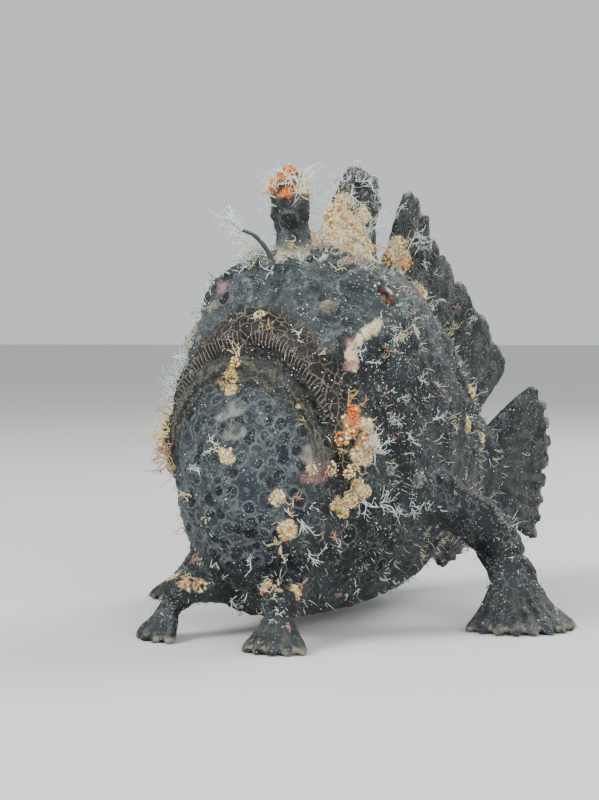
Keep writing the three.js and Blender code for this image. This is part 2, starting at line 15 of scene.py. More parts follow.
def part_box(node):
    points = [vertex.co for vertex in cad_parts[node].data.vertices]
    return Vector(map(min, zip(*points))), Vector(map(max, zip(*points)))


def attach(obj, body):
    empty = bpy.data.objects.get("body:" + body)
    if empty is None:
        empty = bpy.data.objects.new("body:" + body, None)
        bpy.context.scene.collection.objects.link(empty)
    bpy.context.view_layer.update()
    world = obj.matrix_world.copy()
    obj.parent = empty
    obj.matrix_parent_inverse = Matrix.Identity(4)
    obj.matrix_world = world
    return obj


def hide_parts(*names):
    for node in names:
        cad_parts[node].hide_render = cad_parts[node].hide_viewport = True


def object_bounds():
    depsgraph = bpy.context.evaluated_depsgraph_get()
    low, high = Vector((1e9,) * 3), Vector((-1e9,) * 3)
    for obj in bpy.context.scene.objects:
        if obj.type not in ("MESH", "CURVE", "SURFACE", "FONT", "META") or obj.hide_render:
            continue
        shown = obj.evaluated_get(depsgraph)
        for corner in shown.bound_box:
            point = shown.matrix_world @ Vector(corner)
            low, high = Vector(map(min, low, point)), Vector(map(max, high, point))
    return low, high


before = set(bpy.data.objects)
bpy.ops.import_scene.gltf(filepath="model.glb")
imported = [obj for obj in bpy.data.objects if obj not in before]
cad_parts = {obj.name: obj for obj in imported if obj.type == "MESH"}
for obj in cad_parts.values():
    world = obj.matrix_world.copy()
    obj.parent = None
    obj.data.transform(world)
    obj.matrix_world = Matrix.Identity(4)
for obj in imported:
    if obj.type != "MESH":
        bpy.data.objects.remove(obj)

solid_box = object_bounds()
print("solids measure", [round(v, 4) for v in np.subtract(solid_box[1], solid_box[0])])

# %% [markdown]
# ## The body as one formula
# The body could be sculpted by hand, but a formula keeps it the same shape as the solids.
# A list of cross sections gives, from chin to tail: y, top, bottom, height of the widest line, half width.
# A smooth curve runs through each column, and each section is an oval squared a little across the brow.

# %% Body sections and the smooth body
SECTIONS = np.array(
    [
        [-17.0, 38.0, 38.0, 38.0, 0.0],
        [-16.2, 47.0, 29.0, 38.0, 7.0],
        [-13.5, 56.0, 20.5, 39.0, 13.2],
        [-9.0, 65.5, 13.5, 41.0, 18.6],
        [-3.5, 75.0, 8.2, 43.0, 23.0],
        [2.0, 83.5, 5.5, 44.0, 26.0],
        [9.0, 92.0, 3.8, 46.0, 28.2],
        [18.0, 96.5, 2.8, 49.0, 29.5],
        [30.0, 98.0, 2.4, 50.0, 30.0],
        [45.0, 97.0, 2.6, 50.0, 29.0],
        [60.0, 92.5, 4.2, 50.0, 26.0],
        [75.0, 84.5, 8.5, 48.0, 20.5],
        [90.0, 72.5, 15.5, 44.0, 14.0],
        [102.0, 59.0, 20.5, 40.0, 9.5],
        [110.0, 50.5, 24.0, 37.5, 7.2],
        [116.0, 46.5, 25.5, 36.0, 5.2],
        [118.0, 36.0, 36.0, 36.0, 0.0],
    ]
)
LAST = len(SECTIONS) - 1
TAIL_BEND, BEND_START, TAIL_BASE = 7.0, 50.0, 114.0
SQUARER, BROW_Y, BROW_REACH = 0.2, 18, 24


def bell(distance, reach):
    """A hump that is 1 at distance 0 and fades as exp(-(distance / reach) squared)."""
    return np.exp(-((distance / reach) ** 2))


def smooth_step(low, high, value):
    """0 below low, 1 above high, and the cubic 3t^2 - 2t^3 between, also with low above high."""
    t = np.clip((value - low) / (high - low), 0, 1)
    return t * t * (3 - 2 * t)


def lerp(a, b, t):
    """The straight mix a + (b - a) t."""
    return a + (b - a) * t


def through(points, place):
    """A Catmull-Rom curve through the rows of points, at places counted in rows."""
    place = np.asarray(place, float)
    whole = np.clip(np.floor(place).astype(int), 0, len(points) - 2)
    t = (place - whole)[..., None]
    a, b, c, d = (points[np.clip(whole + k, 0, len(points) - 1)] for k in (-1, 0, 1, 2))
    return b + 0.5 * t * (c - a + t * (2 * a - 5 * b + 4 * c - d + t * (3 * (b - c) + d - a)))


# Past either pole the sections are mirrored, so that both ends of the body close round.
first, final = 2 * SECTIONS[0] - SECTIONS[1], 2 * SECTIONS[-1] - SECTIONS[-2]
first[0], final[0] = SECTIONS[1][0], SECTIONS[-2][0]
PADDED = np.vstack([first, SECTIONS, final])


def bend(y):
    """The sideways bend of the tail: a parabola that starts at BEND_START."""
    return TAIL_BEND * (np.maximum(0, y - BEND_START) / (TAIL_BASE - BEND_START)) ** 2


def body_point(place, turn):
    """Half width times sin(turn) across, and the section's height times cos(turn) up or down."""
    y, top, bottom, widest, half = np.moveaxis(through(PADDED, np.asarray(place) + 1.0), -1, 0)
    c, s = np.cos(turn), np.sin(turn)
    squarer = np.where(c > 0, 1 - SQUARER * bell(y - BROW_Y, BROW_REACH), 1.0)
    height = np.where(c > 0, top - widest, widest - bottom)
    x = bend(y) + half * np.sign(s) * np.abs(s) ** squarer
    return np.stack([x, y + 0 * x, widest + height * np.sign(c) * np.abs(c) ** squarer], -1)


def body_normal(place, turn):
    """Outward direction: the cross product of the steps along both parameters."""
    place = np.clip(place, 0.02, LAST - 0.02)
    d = 0.01
    around = body_point(place, turn + d) - body_point(place, turn - d)
    along = body_point(place + d, turn) - body_point(place - d, turn)
    n = np.cross(around, along)
    return n / np.linalg.norm(n, axis=-1, keepdims=True)


PLACES = np.linspace(0, LAST, 2000)
PLACE_Y = through(PADDED, PLACES + 1.0)[:, 0]


def place_of(y):
    """The place along the sections where the body reaches y."""
    return np.interp(y, PLACE_Y, PLACES)


print("body runs from", PLACE_Y[0].round(1), "to", PLACE_Y[-1].round(1), "mm")

# %% [markdown]
# ## Lips, brows and cheeks
# The face is relief: humps and hollows added along the outward direction. The mouth is an arch,
# half an oval from corner to corner. The number `lip_place` is 0 on the line of the mouth, positive on the
# upper lip and negative on the lower one, so that lips and their markings both follow the same arch.

# %% Relief of the face
MOUTH_HALF, MOUTH_RISE, CORNER_Z = 23.6, 29.5, 43.0
CHEEK_FOLD = np.array([[24.5, 15, 77], [28, 5, 65], [28, 3, 51]], float)
# Middles of the humps and hollows on the left side, which the right side mirrors
EYE_MOUND, EYE_RIM, BROW_CORNER = (22, 19, 84), (25.2, 19, 85), (21.5, 15.5, 92.5)
SNOUT_TIP, SNOUT_DENT, CHEEK_HOLLOW = (0, 6, 91), (9, 13, 96), (30, 18, 63)
ARM_ROOT, LEG_ROOT = (28, 40, 34), (8, 2, 6)
# The right brow bulges a little more than the left
RIGHT_BROW = (-23.5, 15.5, 91)


def lip_place(p):
    """How far a point lies outside the mouth's oval, in lip widths."""
    x, z = p[..., 0] / MOUTH_HALF, (p[..., 2] - CORNER_Z) / MOUTH_RISE
    band = lerp(0.12, 0.26, np.sin(np.arctan2(z, np.abs(x))) ** 2)
    return (np.hypot(x, z) - 1) / band


def in_front(p):
    """1 on the face above the mouth's corners, fading to 0 behind and below."""
    return smooth_step(14, 4, p[..., 1]) * smooth_step(CORNER_Z - 6, CORNER_Z + 1, p[..., 2])


def to_segment(p, a, b):
    """Distance to the straight piece between two points."""
    t = np.clip(((p - a) @ (b - a)) / ((b - a) @ (b - a)), 0, 1)
    return np.linalg.norm(p - (a + t[..., None] * (b - a)), axis=-1)


def waves(p, size, seed, count=14):
    """Smooth random height: a sum of sine waves of one length in random directions."""
    rng = np.random.default_rng(seed)
    ways = rng.normal(size=(count, 3))
    ways *= 2 * np.pi / size / np.linalg.norm(ways, axis=1, keepdims=True)
    return np.sin(p @ ways.T + rng.uniform(0, 6.28, count)).sum(-1) / np.sqrt(count)


def folds(point):
    """Thin branching ridges: high where a smooth random wave passes through zero, on the brow only."""
    ridge = np.maximum(0, 1 - 2.4 * np.abs(waves(point, 15, 7))) ** 1.5
    ridge += 0.6 * np.maximum(0, 1 - 2.4 * np.abs(waves(point, 9, 8))) ** 1.5
    mirrored = np.abs(point * np.array([1, 0, 0])) + point * np.array([0, 1, 1])
    from_eye = np.linalg.norm(mirrored - np.array(EYE_MOUND), axis=-1)
    on_brow = smooth_step(66, 74, point[..., 2]) * smooth_step(40, 28, point[..., 1])
    return ridge * on_brow * smooth_step(6, 10, from_eye) * smooth_step(1.0, 1.5, lip_place(point))


def relief(point):
    """The sum of the face's humps, each a bell round a point, a line or the lip's arch."""
    p = point.copy()
    p[..., 0] = np.abs(p[..., 0] - bend(p[..., 1]))

    def hump(height, middle, reach):
        return height * bell(np.linalg.norm(p - np.array(middle), axis=-1), reach)

    lips = lip_place(p)
    mouth = 2.3 * bell(lips - 0.55, 0.42) + 2.0 * bell(lips + 0.52, 0.36)
    mouth = mouth - 1.9 * bell(lips, 0.13) - 1.3 * bell(lips + 1.3, 0.35)
    top, middle, foot = CHEEK_FOLD
    fold = np.minimum(to_segment(p, top, middle), to_segment(p, middle, foot))
    out = in_front(p) * mouth
    out += hump(3.2, EYE_MOUND, 8.5) + 1.5 * bell(np.linalg.norm(p - np.array(EYE_RIM), axis=-1) - 5.4, 1.0)
    out += hump(3.6, BROW_CORNER, 5)
    out += 3.4 * bell(np.linalg.norm(point - np.array(RIGHT_BROW), axis=-1), 5)
    out += hump(2.4, SNOUT_TIP, 4.5) + hump(-1.6, SNOUT_DENT, 6)
    out += 2.2 * bell(fold, 2.3) + hump(-3.4, CHEEK_HOLLOW, 9.5)
    out += hump(2.6, ARM_ROOT, 11) + hump(1.6, LEG_ROOT, 7)
    low = smooth_step(4, 12, p[..., 2])
    lumps = 0.55 * waves(point, 17, 1) + 0.4 * waves(point, 8, 2)
    lumps += 0.9 * np.maximum(0, waves(point, 5.5, 3) - 1.0)
    out += 1.9 * folds(point)
    return out + low * lumps * np.where(np.abs(lips) < 1.4, 1 - 0.6 * in_front(p), 1.0)


def skin_point(place, turn):
    """A point of the skin: the smooth body moved out by the relief."""
    base = body_point(place, turn)
    normal = body_normal(place, turn)
    return base + normal * relief(base)[..., None], normal


print("brow stands out by", round(float(relief(np.array([BROW_CORNER], float))[0]), 1), "mm")


# %% [markdown]
# ## Grids to meshes
# Fins, limbs and warts are grids too. A tube is a ring carried along a curve; a fin is two sheets a
# small thickness apart whose rays are ridges in both. All parts carry a few numbers per vertex,
# such as how orange they are, which are handed on to the finished skin.

# %% Helpers that make closed grids
parts = []
TAGS = ("rust", "cream", "ray", "edge")
# A direction that no wart or thread points along, so that a cross product with it is never zero
SKEW = (0.31, 0.52, 0.79)


def keep(verts, faces, **tags):
    """Store one closed part with its numbers per vertex."""
    values = np.zeros((len(verts), len(TAGS)))
    for name, value in tags.items():
        values[:, TAGS.index(name)] = value
    parts.append((verts, faces, values))


def grid_faces(rows, columns, wrap):
    """Four-cornered faces between neighbouring rows and columns of a grid."""
    r, c = np.meshgrid(np.arange(rows - 1), np.arange(columns if wrap else columns - 1), indexing="ij")
    after = (c + 1) % columns
    here_row, next_row = r * columns, (r + 1) * columns
    return np.stack([here_row + c, here_row + after, next_row + after, next_row + c], -1).reshape(-1, 4)


def across_of(way, hint):
    """Two directions square to a direction: its cross product with a hint, and then with that."""
    side = np.cross(way, hint)
    side /= np.linalg.norm(side)
    return side, np.cross(way, side)


def tube(points, size, reference, sides, rows):
    """Rings along a smooth curve; size(v, angle) gives two half widths, and both ends close."""
    points = np.array(points, float)
    v = np.linspace(0, 1, rows)
    path = through(points, v * (len(points) - 1))
    tangent = np.gradient(path, axis=0)
    tangent /= np.linalg.norm(tangent, axis=1, keepdims=True)
    across = np.cross(tangent, reference)
    across /= np.linalg.norm(across, axis=1, keepdims=True)
    ahead = np.cross(across, tangent)
    angle = np.linspace(0, 2 * np.pi, sides, endpoint=False)
    vv, aa = np.meshgrid(v, angle, indexing="ij")
    wide, deep = size(vv, aa)
    close = np.where((vv == 0) | (vv == 1), 0.0, 1.0)
    ring = across[:, None] * (wide * np.cos(aa) * close)[..., None]
    ring = ring + ahead[:, None] * (deep * np.sin(aa) * close)[..., None]
    return (path[:, None] + ring).reshape(-1, 3), grid_faces(rows, sides, True), vv.ravel()


def round_section(half_width):
    """The same half width both ways, half_width(v)."""

    def size(v, angle):
        wide = half_width(v)
        return wide, wide

    return size


def keep_tube(*shape, sides, rows, **tags):
    """Make one tube and keep it."""
    verts, faces, _ = tube(*shape, sides, rows)
    keep(verts, faces, **tags)


def dome(point, normal, radius, height, sides=18, rows=12, depth=1.2):
    """A dome of revolution: radius times sin, height times cos, with its foot sunk in the skin."""
    normal = normal / np.linalg.norm(normal)
    side, other = across_of(normal, SKEW)
    turns = np.linspace(0, 2 * np.pi, sides, endpoint=False)
    h, t = np.meshgrid(np.linspace(0, np.pi, rows), turns, indexing="ij")
    lump = 1 + 0.12 * np.sin(3 * t + point[0]) * np.sin(h)
    rise = np.cos(h)[..., None] * np.where(np.cos(h) > 0, height, depth)[..., None]
    out = (radius * np.sin(h) * lump)[..., None]
    verts = point + out * (side * np.cos(t)[..., None] + other * np.sin(t)[..., None]) + rise * normal
    return verts.reshape(-1, 3), grid_faces(rows, sides, True)


def fin_sheet(rays, root, tip, camber, thick, scallop, lobes=None, rows=34, per_ray=14):
    """Two sheets from root(a) to tip(a): ridges swell over each ray and the edge dips between rays."""
    a, b = np.meshgrid(np.linspace(0, 1, rays * per_ray + 1), np.linspace(0, 1, rows), indexing="ij")
    pulse = np.sin(np.pi * a * rays) ** 2
    lobe = 1 - scallop * (1 - np.abs(np.sin(np.pi * a * (lobes or rays))) ** 0.6)

    def middle(a, reach):
        return lerp(root(a), tip(a), reach[..., None]) + camber(a, reach)

    d = 0.003
    along = middle(a + d, b) - middle(a - d, b)
    outward = middle(a, b + d) - middle(a, b - d)
    normal = np.cross(along, outward)
    normal /= np.linalg.norm(normal, axis=-1, keepdims=True)
    rounded = np.sqrt(np.clip(1.06 - b**8, 0.2, 1))
    half = 0.5 * lerp(thick[0], thick[1], b) * (0.6 + 0.4 * pulse**1.3) * rounded
    centre = middle(a, b * lobe)
    count = a.size
    front, back = centre + normal * half[..., None], centre - normal * half[..., None]
    faces = grid_faces(*a.shape, False)
    index = np.arange(count).reshape(a.shape)
    rim = np.concatenate([index[:, 0], index[-1, 1:], index[-2::-1, -1], index[0, -2:0:-1]])
    after = np.roll(rim, -1)
    walls = np.stack([rim, after, after + count, rim + count], -1)
    verts = np.vstack([front.reshape(-1, 3), back.reshape(-1, 3)])
    faces = np.vstack([faces[:, ::-1], faces + count, walls])
    return verts, faces, np.tile(pulse.ravel(), 2), np.tile(b.ravel(), 2)


# %% [markdown]
# ## The body
# Head and trunk are one surface on the real fish. They could be two shells that meet, but one grid
# leaves no seam. Its rows crowd towards the face, where the lips need them.

# %% The body grid
ROWS, COLUMNS = 300, 340
CROWDING = 1.25
rows_at = LAST * np.linspace(0, 1, ROWS) ** CROWDING
turns_at = np.linspace(0, 2 * np.pi, COLUMNS, endpoint=False)
body_verts, _ = skin_point(*np.meshgrid(rows_at, turns_at, indexing="ij"))
keep(body_verts.reshape(-1, 3), grid_faces(ROWS, COLUMNS, True)[:, ::-1])
print("body grid", ROWS, "by", COLUMNS)

# %% [markdown]
# ## Fins and limbs
# The arms end in hands of ten finger-like rays and the legs in five toes. They use the same curves
# as the solids, with many more columns, so that the rays come out rounded.

# %% Arms, hands and legs
ARM = np.array([[21, 37, 36], [31, 42, 32], [40, 48, 25], [46, 48, 16.5]], float)
LEG = np.array([[7.5, 5, 11], [11, -3, 12.5], [14, -11, 12.5], [15.5, -14.5, 9]], float)
WRIST, PALM, ANKLE = np.array([[47, 47.5, 14.5], [47.0, 47.6, 14.2], [15.2, -12.5, 10]])
HAND_HALF, HAND_REACH, FOOT_REACH = 6, 19, 11.3
TIP_HEIGHT, SOLE = 0.9, 0.12
UPRIGHT = (0, 0, 1)
# The right hand and foot are swung by a few degrees, so that the stance isn't a mirror image
RIGHT_SWING = 7
rad = np.radians


def fan(side, start, stop, swing):
    """Level directions, turned from start to stop degrees, on one side of the body."""

    def way(a):
        angle = rad(lerp(start, stop, a) + swing)
        return np.stack([side * np.cos(angle), np.sin(angle), 0 * angle], -1)

    return way


def drop(values):
    """A vertical offset as a vector."""
    return np.stack([0 * values, 0 * values, values], -1)


def add_fin(*shape, **settings):
    """Make one fin, clear of the floor, and keep it with its ray ridges and its edge marked."""
    verts, faces, pulse, b = fin_sheet(*shape, **settings)
    verts[:, 2] = np.maximum(verts[:, 2], SOLE)
    keep(verts, faces, ray=pulse, edge=b)


def paw(rays, hub, way, root, tip_reach, arch, **settings):
    """Rays that fan out from a hub to just over the floor; root is a reach and a rise from the hub."""
    floor_hub = np.array([hub[0], hub[1], TIP_HEIGHT])
    add_fin(
        rays,
        lambda a: hub + way(a) * root[0] + np.array([0, 0, root[1]]),
        lambda a: floor_hub + way(a) * tip_reach(a)[..., None],
        lambda a, b: drop(-arch * np.sin(np.pi * b)),
        **settings,
    )


def arm_size(v, angle):
    """A taper towards the wrist, with three soft lumps round it."""
    return lerp(10, 6.4, v**0.7) * (1 + 0.03 * np.sin(3 * angle + 7 * v)), lerp(8.6, 5.4, v**0.7)


def hand_reach(a):
    """Middle rays reach HAND_REACH, and the outer ones an eighth less."""
    return HAND_REACH * (1 - 0.12 * (2 * a - 1) ** 2)


def foot_reach(a):
    """All toes reach equally far."""
    return FOOT_REACH + 0 * a


for side, swing in ((1, 0), (-1, RIGHT_SWING)):
    flip = np.array([side, 1, 1])
    hand_way, foot_way = fan(side, -112, 38, swing), fan(side, -128, -18, swing)
    keep_tube(ARM * flip, arm_size, UPRIGHT, sides=32, rows=40)
    keep(*dome(PALM * flip, np.array([0.2 * side, 0, 1.0]), 6.3, 5.2, sides=32, rows=24, depth=5.2))
    hand_root = (HAND_HALF * 0.7 - 2, 1.5)
    paw(10, WRIST * flip, hand_way, hand_root, hand_reach, 3.4, thick=(5.6, 2.2), scallop=0.22)
    keep_tube(LEG * flip, lambda v, t: (lerp(5.6, 4.2, v), lerp(5, 4, v)), UPRIGHT, sides=28, rows=30)
    paw(5, ANKLE * flip, foot_way, (0.8, 0), foot_reach, 1.6, thick=(6.4, 2.4), scallop=0.26)
print("limbs made, parts so far", len(parts))

# %% [markdown]
# ## Fins along the back and tail
# Each fin hangs on soft rays joined by skin. A flat card with a picture of rays would look thin from
# the side, so each is a solid sheet that flops sideways more towards its edge.

# %% Dorsal, tail and anal fins
def back_z(y):
    """Height of the back at y."""
    return through(PADDED, place_of(y) + 1.0)[..., 1]


def belly_z(y):
    """Height of the belly at y."""
    return through(PADDED, place_of(y) + 1.0)[..., 2]


def dorsal_root(a):
    """The line along the back, sunk into it, that the dorsal fin grows from."""
    y = lerp(61.5, 108, a)
    return np.stack([bend(y), y, back_z(y) - 3.5], -1)


def dorsal_tip(a):
    """Ray tips: longer at the front, leaning back more towards the tail."""
    lean = rad(lerp(10, 42, a))
    length = 3.5 + lerp(26.5, 19, np.maximum(0, a) ** 1.6) - 3 * bell(a - 0.3, 0.12)
    return dorsal_root(a) + np.stack([4 + 0 * a, length * np.sin(lean), length * np.cos(lean)], -1)


def sway(amount, waves_along, shift=0.0, hook=0.0):
    """A sideways flop that grows with the square of the way out."""

    def camber(a, b):
        x = (hook + amount * np.sin(waves_along * a + shift)) * b * b
        return np.stack([x, 0 * x, 0 * x], -1)

    return camber


add_fin(12, dorsal_root, dorsal_tip, sway(2.2, 8, 0.6), thick=(4.8, 2.3), scallop=0.1, lobes=7)

tail_way = np.array([2 * TAIL_BEND / (TAIL_BASE - BEND_START), 1, 0])
tail_way /= np.linalg.norm(tail_way)


def tail_root(a):
    """The upright line at the end of the tail that its fin grows from."""
    z = 36 + lerp(9.5, -9.5, a)
    return np.stack([bend(TAIL_BASE) + 0 * z, TAIL_BASE - 1.5 + 0 * z, z], -1)


def tail_tip(a):
    """Rays fan out up and down about the tail's own direction."""
    angle = rad(lerp(36, -36, a))
    length = 31 * (1 - 0.12 * (2 * a - 1) ** 2)
    return tail_root(a) + tail_way * (length * np.cos(angle))[..., None] + drop(length * np.sin(angle))


add_fin(9, tail_root, tail_tip, sway(1.2, 7, 0, 3.5), thick=(4.4, 2.0), scallop=0.07)


def anal_root(a):
    """The line under the tail that the anal fin grows from."""
    y = lerp(84, 107, a)
    return np.stack([bend(y), y, belly_z(y) + 3], -1)


def anal_tip(a):
    """Rays trail back and down."""
    angle, length = rad(lerp(46, 60, a)), lerp(14, 19, a)
    return anal_root(a) + np.stack([1 + 0 * a, length * np.sin(angle), -length * np.cos(angle)], -1)


add_fin(7, anal_root, anal_tip, sway(1.2, 7), thick=(4.0, 2.0), scallop=0.07)
print("fins made, parts so far", len(parts))

# %% [markdown]
# ## Spines, rod and lure
# The first three spines of the back are free. The first is the thin rod with its lure, the second is a
# fleshy post with an orange cap, and the third a broad hump that leans back.

# %% The three spines
SPINE_TWO = [(0, 17.5, 88), (0, 17, 97), (0, 15.5, 106), (0, 14.8, 112.5)]
SPINE_THREE = [(0, 44, 86), (0, 44.5, 97), (0, 47.5, 109), (0, 52.5, 120.5)]
ROD = [(0, 8, 89), (0, 5.5, 95.5), (0, -1, 100), (0, -8.2, 101.4)]


def post_size(v, t):
    """Oval section, drawn out backwards into a web near the root, rounded off at the top."""
    rounded = np.sqrt(np.maximum(0.04, 1 - np.maximum(0, (v - 0.86) / 0.14) ** 2))
    behind = np.maximum(0, np.sin(t)) ** 2
    uneven = 1 - 0.07 * np.sin(4 * t + 11 * v) - 0.08 * np.sin(13 * v + 1)
    web = 4.5 + 9 * behind * (1 - v) ** 1.2
    return 4.7 * rounded * (1 - 0.35 * behind) * uneven, web * rounded * uneven


def hump_size(v, t):
    """A broad oval that narrows upwards, with three soft lumps round it."""
    rounded = np.sqrt(np.maximum(0.03, 1 - np.maximum(0, (v - 0.82) / 0.18) ** 2))
    lump = 1 + 0.07 * np.sin(3 * t + 9 * v) + 0.05 * np.sin(5 * t - 14 * v)
    return lerp(8.5, 3.8, v) * rounded * lump, lerp(14.5, 6.2, v**0.8) * rounded * lump


verts, faces, v = tube(SPINE_TWO, post_size, (0, 1, 0), sides=40, rows=60)
keep(verts, faces, cream=0.55 * smooth_step(0.45, 0.3, v), rust=smooth_step(0.88, 0.95, v))
keep_tube(SPINE_THREE, hump_size, (0, 1, 0), sides=48, rows=60)
rod_size = round_section(lambda v: lerp(1.1, 0.38, v**0.5) * (1 + 0.08 * np.sin(40 * v)))
rod_verts, rod_faces, _ = tube(ROD, rod_size, (1, 0, 0), sides=16, rows=50)
print("rod is", round(float(np.linalg.norm(np.diff(np.array(ROD), axis=0), axis=1).sum()), 1), "mm long")

# %% [markdown]
# ## Sighting
# Some places are known only as spots in the picture. They could be guessed in space, but a ray from
# the camera through the spot, followed to the skin, gives each place without guessing. The camera
# stands in front of the fish's left side, level with its mouth.

# %% The camera and sighting
AZIMUTH, ELEVATION, DISTANCE = rad(32.0), rad(2.0), 420.0
PICTURE_MIDDLE = (299.5, 400)
PICTURE_HEIGHT, SEEN_HEIGHT = 800.0, 200.0
BACKWARD = np.array(
    [np.sin(AZIMUTH) * np.cos(ELEVATION), -np.cos(AZIMUTH) * np.cos(ELEVATION), np.sin(ELEVATION)]
)
RIGHT = np.array([np.cos(AZIMUTH), np.sin(AZIMUTH), 0])
UP = np.cross(BACKWARD, RIGHT)
LOOK_RIGHT, LOOK_DOWN, LOOK_HEIGHT = 10.4, 20.75, 80
AIM = np.array([0, 0, LOOK_HEIGHT]) + LOOK_RIGHT * RIGHT - LOOK_DOWN * UP
CAMERA = AIM + DISTANCE * BACKWARD
PIXEL = SEEN_HEIGHT / PICTURE_HEIGHT / DISTANCE


def ray_through(px, py):
    """The direction from the camera through a spot of the 599 by 800 picture."""
    way = -BACKWARD + RIGHT * (px - PICTURE_MIDDLE[0]) * PIXEL - UP * (py - PICTURE_MIDDLE[1]) * PIXEL
    return way / np.linalg.norm(way)


def joined(pieces):
    """All grids as one: vertices, faces counted on from grid to grid, and what else each carries."""
    verts, faces, *others = zip(*pieces)
    starts = np.cumsum([0] + [len(v) for v in verts[:-1]])
    faces = [f + start for f, start in zip(faces, starts)]
    return [np.vstack(column) for column in (verts, faces, *others)]


source_verts, source_faces, _ = joined(parts)
target = BVHTree.FromPolygons(source_verts.tolist(), source_faces.tolist())


def sighted(px, py):
    """Where the ray through a spot of the picture meets the skin, with the outward direction."""
    way = ray_through(px, py)
    hit, normal, _, _ = target.ray_cast(Vector(CAMERA), Vector(way))
    if hit is None:
        return None
    normal = np.array(normal)
    return np.array(hit), normal * (-1 if normal @ way > 0 else 1)


print("picture's middle meets the skin at", sighted(*PICTURE_MIDDLE)[0].round(1).tolist())

# %% [markdown]
# ## Warts in view
# Warts on the real skin are low lumps of sponge-like growth. Sculpting each would be slow, and domes
# of revolution do as well, because grains will cover them. Those in view are sighted.

# %% Warts seen in the photo
def add_wart(point, normal, radius, height, rust, cream):
    """Keep one wart, its colour strongest on top."""
    verts, faces = dome(point, normal, radius, height)
    top = smooth_step(-0.2, 0.7, (verts - point) @ normal / height)
    keep(verts, faces, rust=rust * top, cream=cream * top)


# Each entry: spot across and down, radius, height, how orange, how cream
SEEN_WARTS = [
    (228, 455, 2.3, 2.0, 0.1, 0.9), (277, 498, 2.0, 1.8, 0.1, 0.9), (287, 530, 2.6, 2.2, 0.2, 0.9),
    (180, 520, 2.2, 2.0, 0.3, 0.7), (352, 412, 1.9, 1.8, 0.9, 0.2), (348, 426, 2.9, 2.4, 0.7, 0.4),
    (361, 440, 2.6, 2.2, 0.5, 0.6), (354, 456, 2.6, 2.0, 0.3, 0.8), (366, 426, 2.2, 2.0, 0.3, 0.8),
    (371, 442, 2.2, 2.0, 0.2, 0.9), (343, 438, 2.0, 1.6, 0.6, 0.5), (364, 458, 2.2, 1.8, 0.3, 0.8),
    (349, 471, 1.8, 1.6, 0.4, 0.7), (363, 492, 2.0, 1.8, 0.3, 0.8), (336, 504, 1.6, 1.4, 0.3, 0.8),
    (330, 468, 1.7, 1.4, 0.1, 0.9), (314, 470, 1.6, 1.2, 0.1, 0.9), (356, 484, 1.8, 1.6, 0.4, 0.7),
    (350, 500, 2.0, 1.8, 0.4, 0.7), (343, 512, 1.5, 1.2, 0.3, 0.8), (236, 362, 1.4, 1.2, 0.3, 0.8),
    (233, 376, 1.7, 1.4, 0.3, 0.8), (232, 390, 1.6, 1.2, 0.3, 0.8), (273, 262, 2.4, 1.7, 0.0, 0.2),
    (335, 214, 3.2, 2.6, 0.1, 1.0), (352, 232, 3.0, 2.4, 0.1, 1.0), (330, 236, 2.8, 2.4, 0.1, 1.0),
    (366, 248, 2.4, 1.8, 0.1, 1.0), (322, 222, 2.6, 2.2, 0.1, 1.0), (343, 203, 2.8, 2.2, 0.1, 1.0),
    (312, 243, 2.6, 2.2, 0.1, 1.0), (346, 251, 2.4, 2.0, 0.2, 1.0), (362, 216, 2.4, 2.0, 0.1, 1.0),
    (396, 246, 2.8, 2.2, 0.2, 0.9), (404, 262, 2.4, 1.8, 0.6, 0.7), (388, 259, 2.0, 1.6, 0.3, 0.9),
    (354, 175, 2.4, 2.0, 0.0, 0.15), (371, 184, 2.6, 2.0, 0.0, 0.15), (374, 203, 2.4, 2.0, 0.0, 0.15),
    (347, 190, 2.2, 1.6, 0.0, 0.15), (260, 316, 1.5, 1.2, 0.1, 0.9), (388, 470, 2.0, 1.2, 0.0, 0.2),
    (418, 480, 2.2, 1.4, 0.0, 0.2),
]
granular = []
for px, py, radius, height, rust, cream in SEEN_WARTS:
    found = sighted(px, py)
    if found is not None:
        add_wart(*found, radius * 0.9, height * 0.8, rust, cream)
        granular.append((*found, radius, height, rust, cream))
print("warts sighted", len(granular))

# %% [markdown]
# ## A pale flap
# A soft fold of pale skin runs from under the eye to the cheek. It is a thin tube along sighted
# points, swollen unevenly, because a flat ribbon would cast no soft shade. The other side mirrors it.

# %% The pale flap on each cheek
FLAP_SPOTS = [(381, 318), (373, 329), (362, 339), (354, 348), (352, 359), (355, 371)]
FLAP_RAISED = [-0.3, 0.5, 0.9, 1.0, 0.9, 0.2]
# Each entry: place along the flap, and the size of a small lump there
FLAP_LUMPS = [(1.4, 0.9), (2.5, 1.1), (4.3, 0.8)]
flap_line = []
for (px, py), raised in zip(FLAP_SPOTS, FLAP_RAISED):
    spot, out_way = sighted(px, py)
    flap_line.append(spot + raised * out_way)
flap_line = np.array(flap_line)
print("flap", flap_line.round(1).tolist())


def flap_size(v, t):
    """Thin at the top, swollen a third of the way down, uneven throughout, thin at the end."""
    swell = 0.3 + 1.1 * np.sin(np.pi * np.clip(v, 0, 1) ** 0.85) ** 0.7 * (0.85 + 0.3 * np.sin(9 * v + 0.5))
    return swell * (1 + 0.12 * np.sin(2 * t + 9 * v)), 0.8 * swell


for side, paleness in ((1, 0.95), (-1, 0.4)):
    verts, faces, v = tube(flap_line * [side, 1, 1], flap_size, (0.3, 1, 0.1), sides=20, rows=50)
    keep(verts, faces, cream=paleness * smooth_step(0.0, 0.15, v), rust=0.05)
    lump_way = np.array([side * 0.8, -0.5, 0.3])
    for along, lump_size in FLAP_LUMPS:
        lump_foot = through(flap_line, along) * [side, 1, 1]
        add_wart(lump_foot, lump_way, lump_size, 1.2, 0.1, paleness)

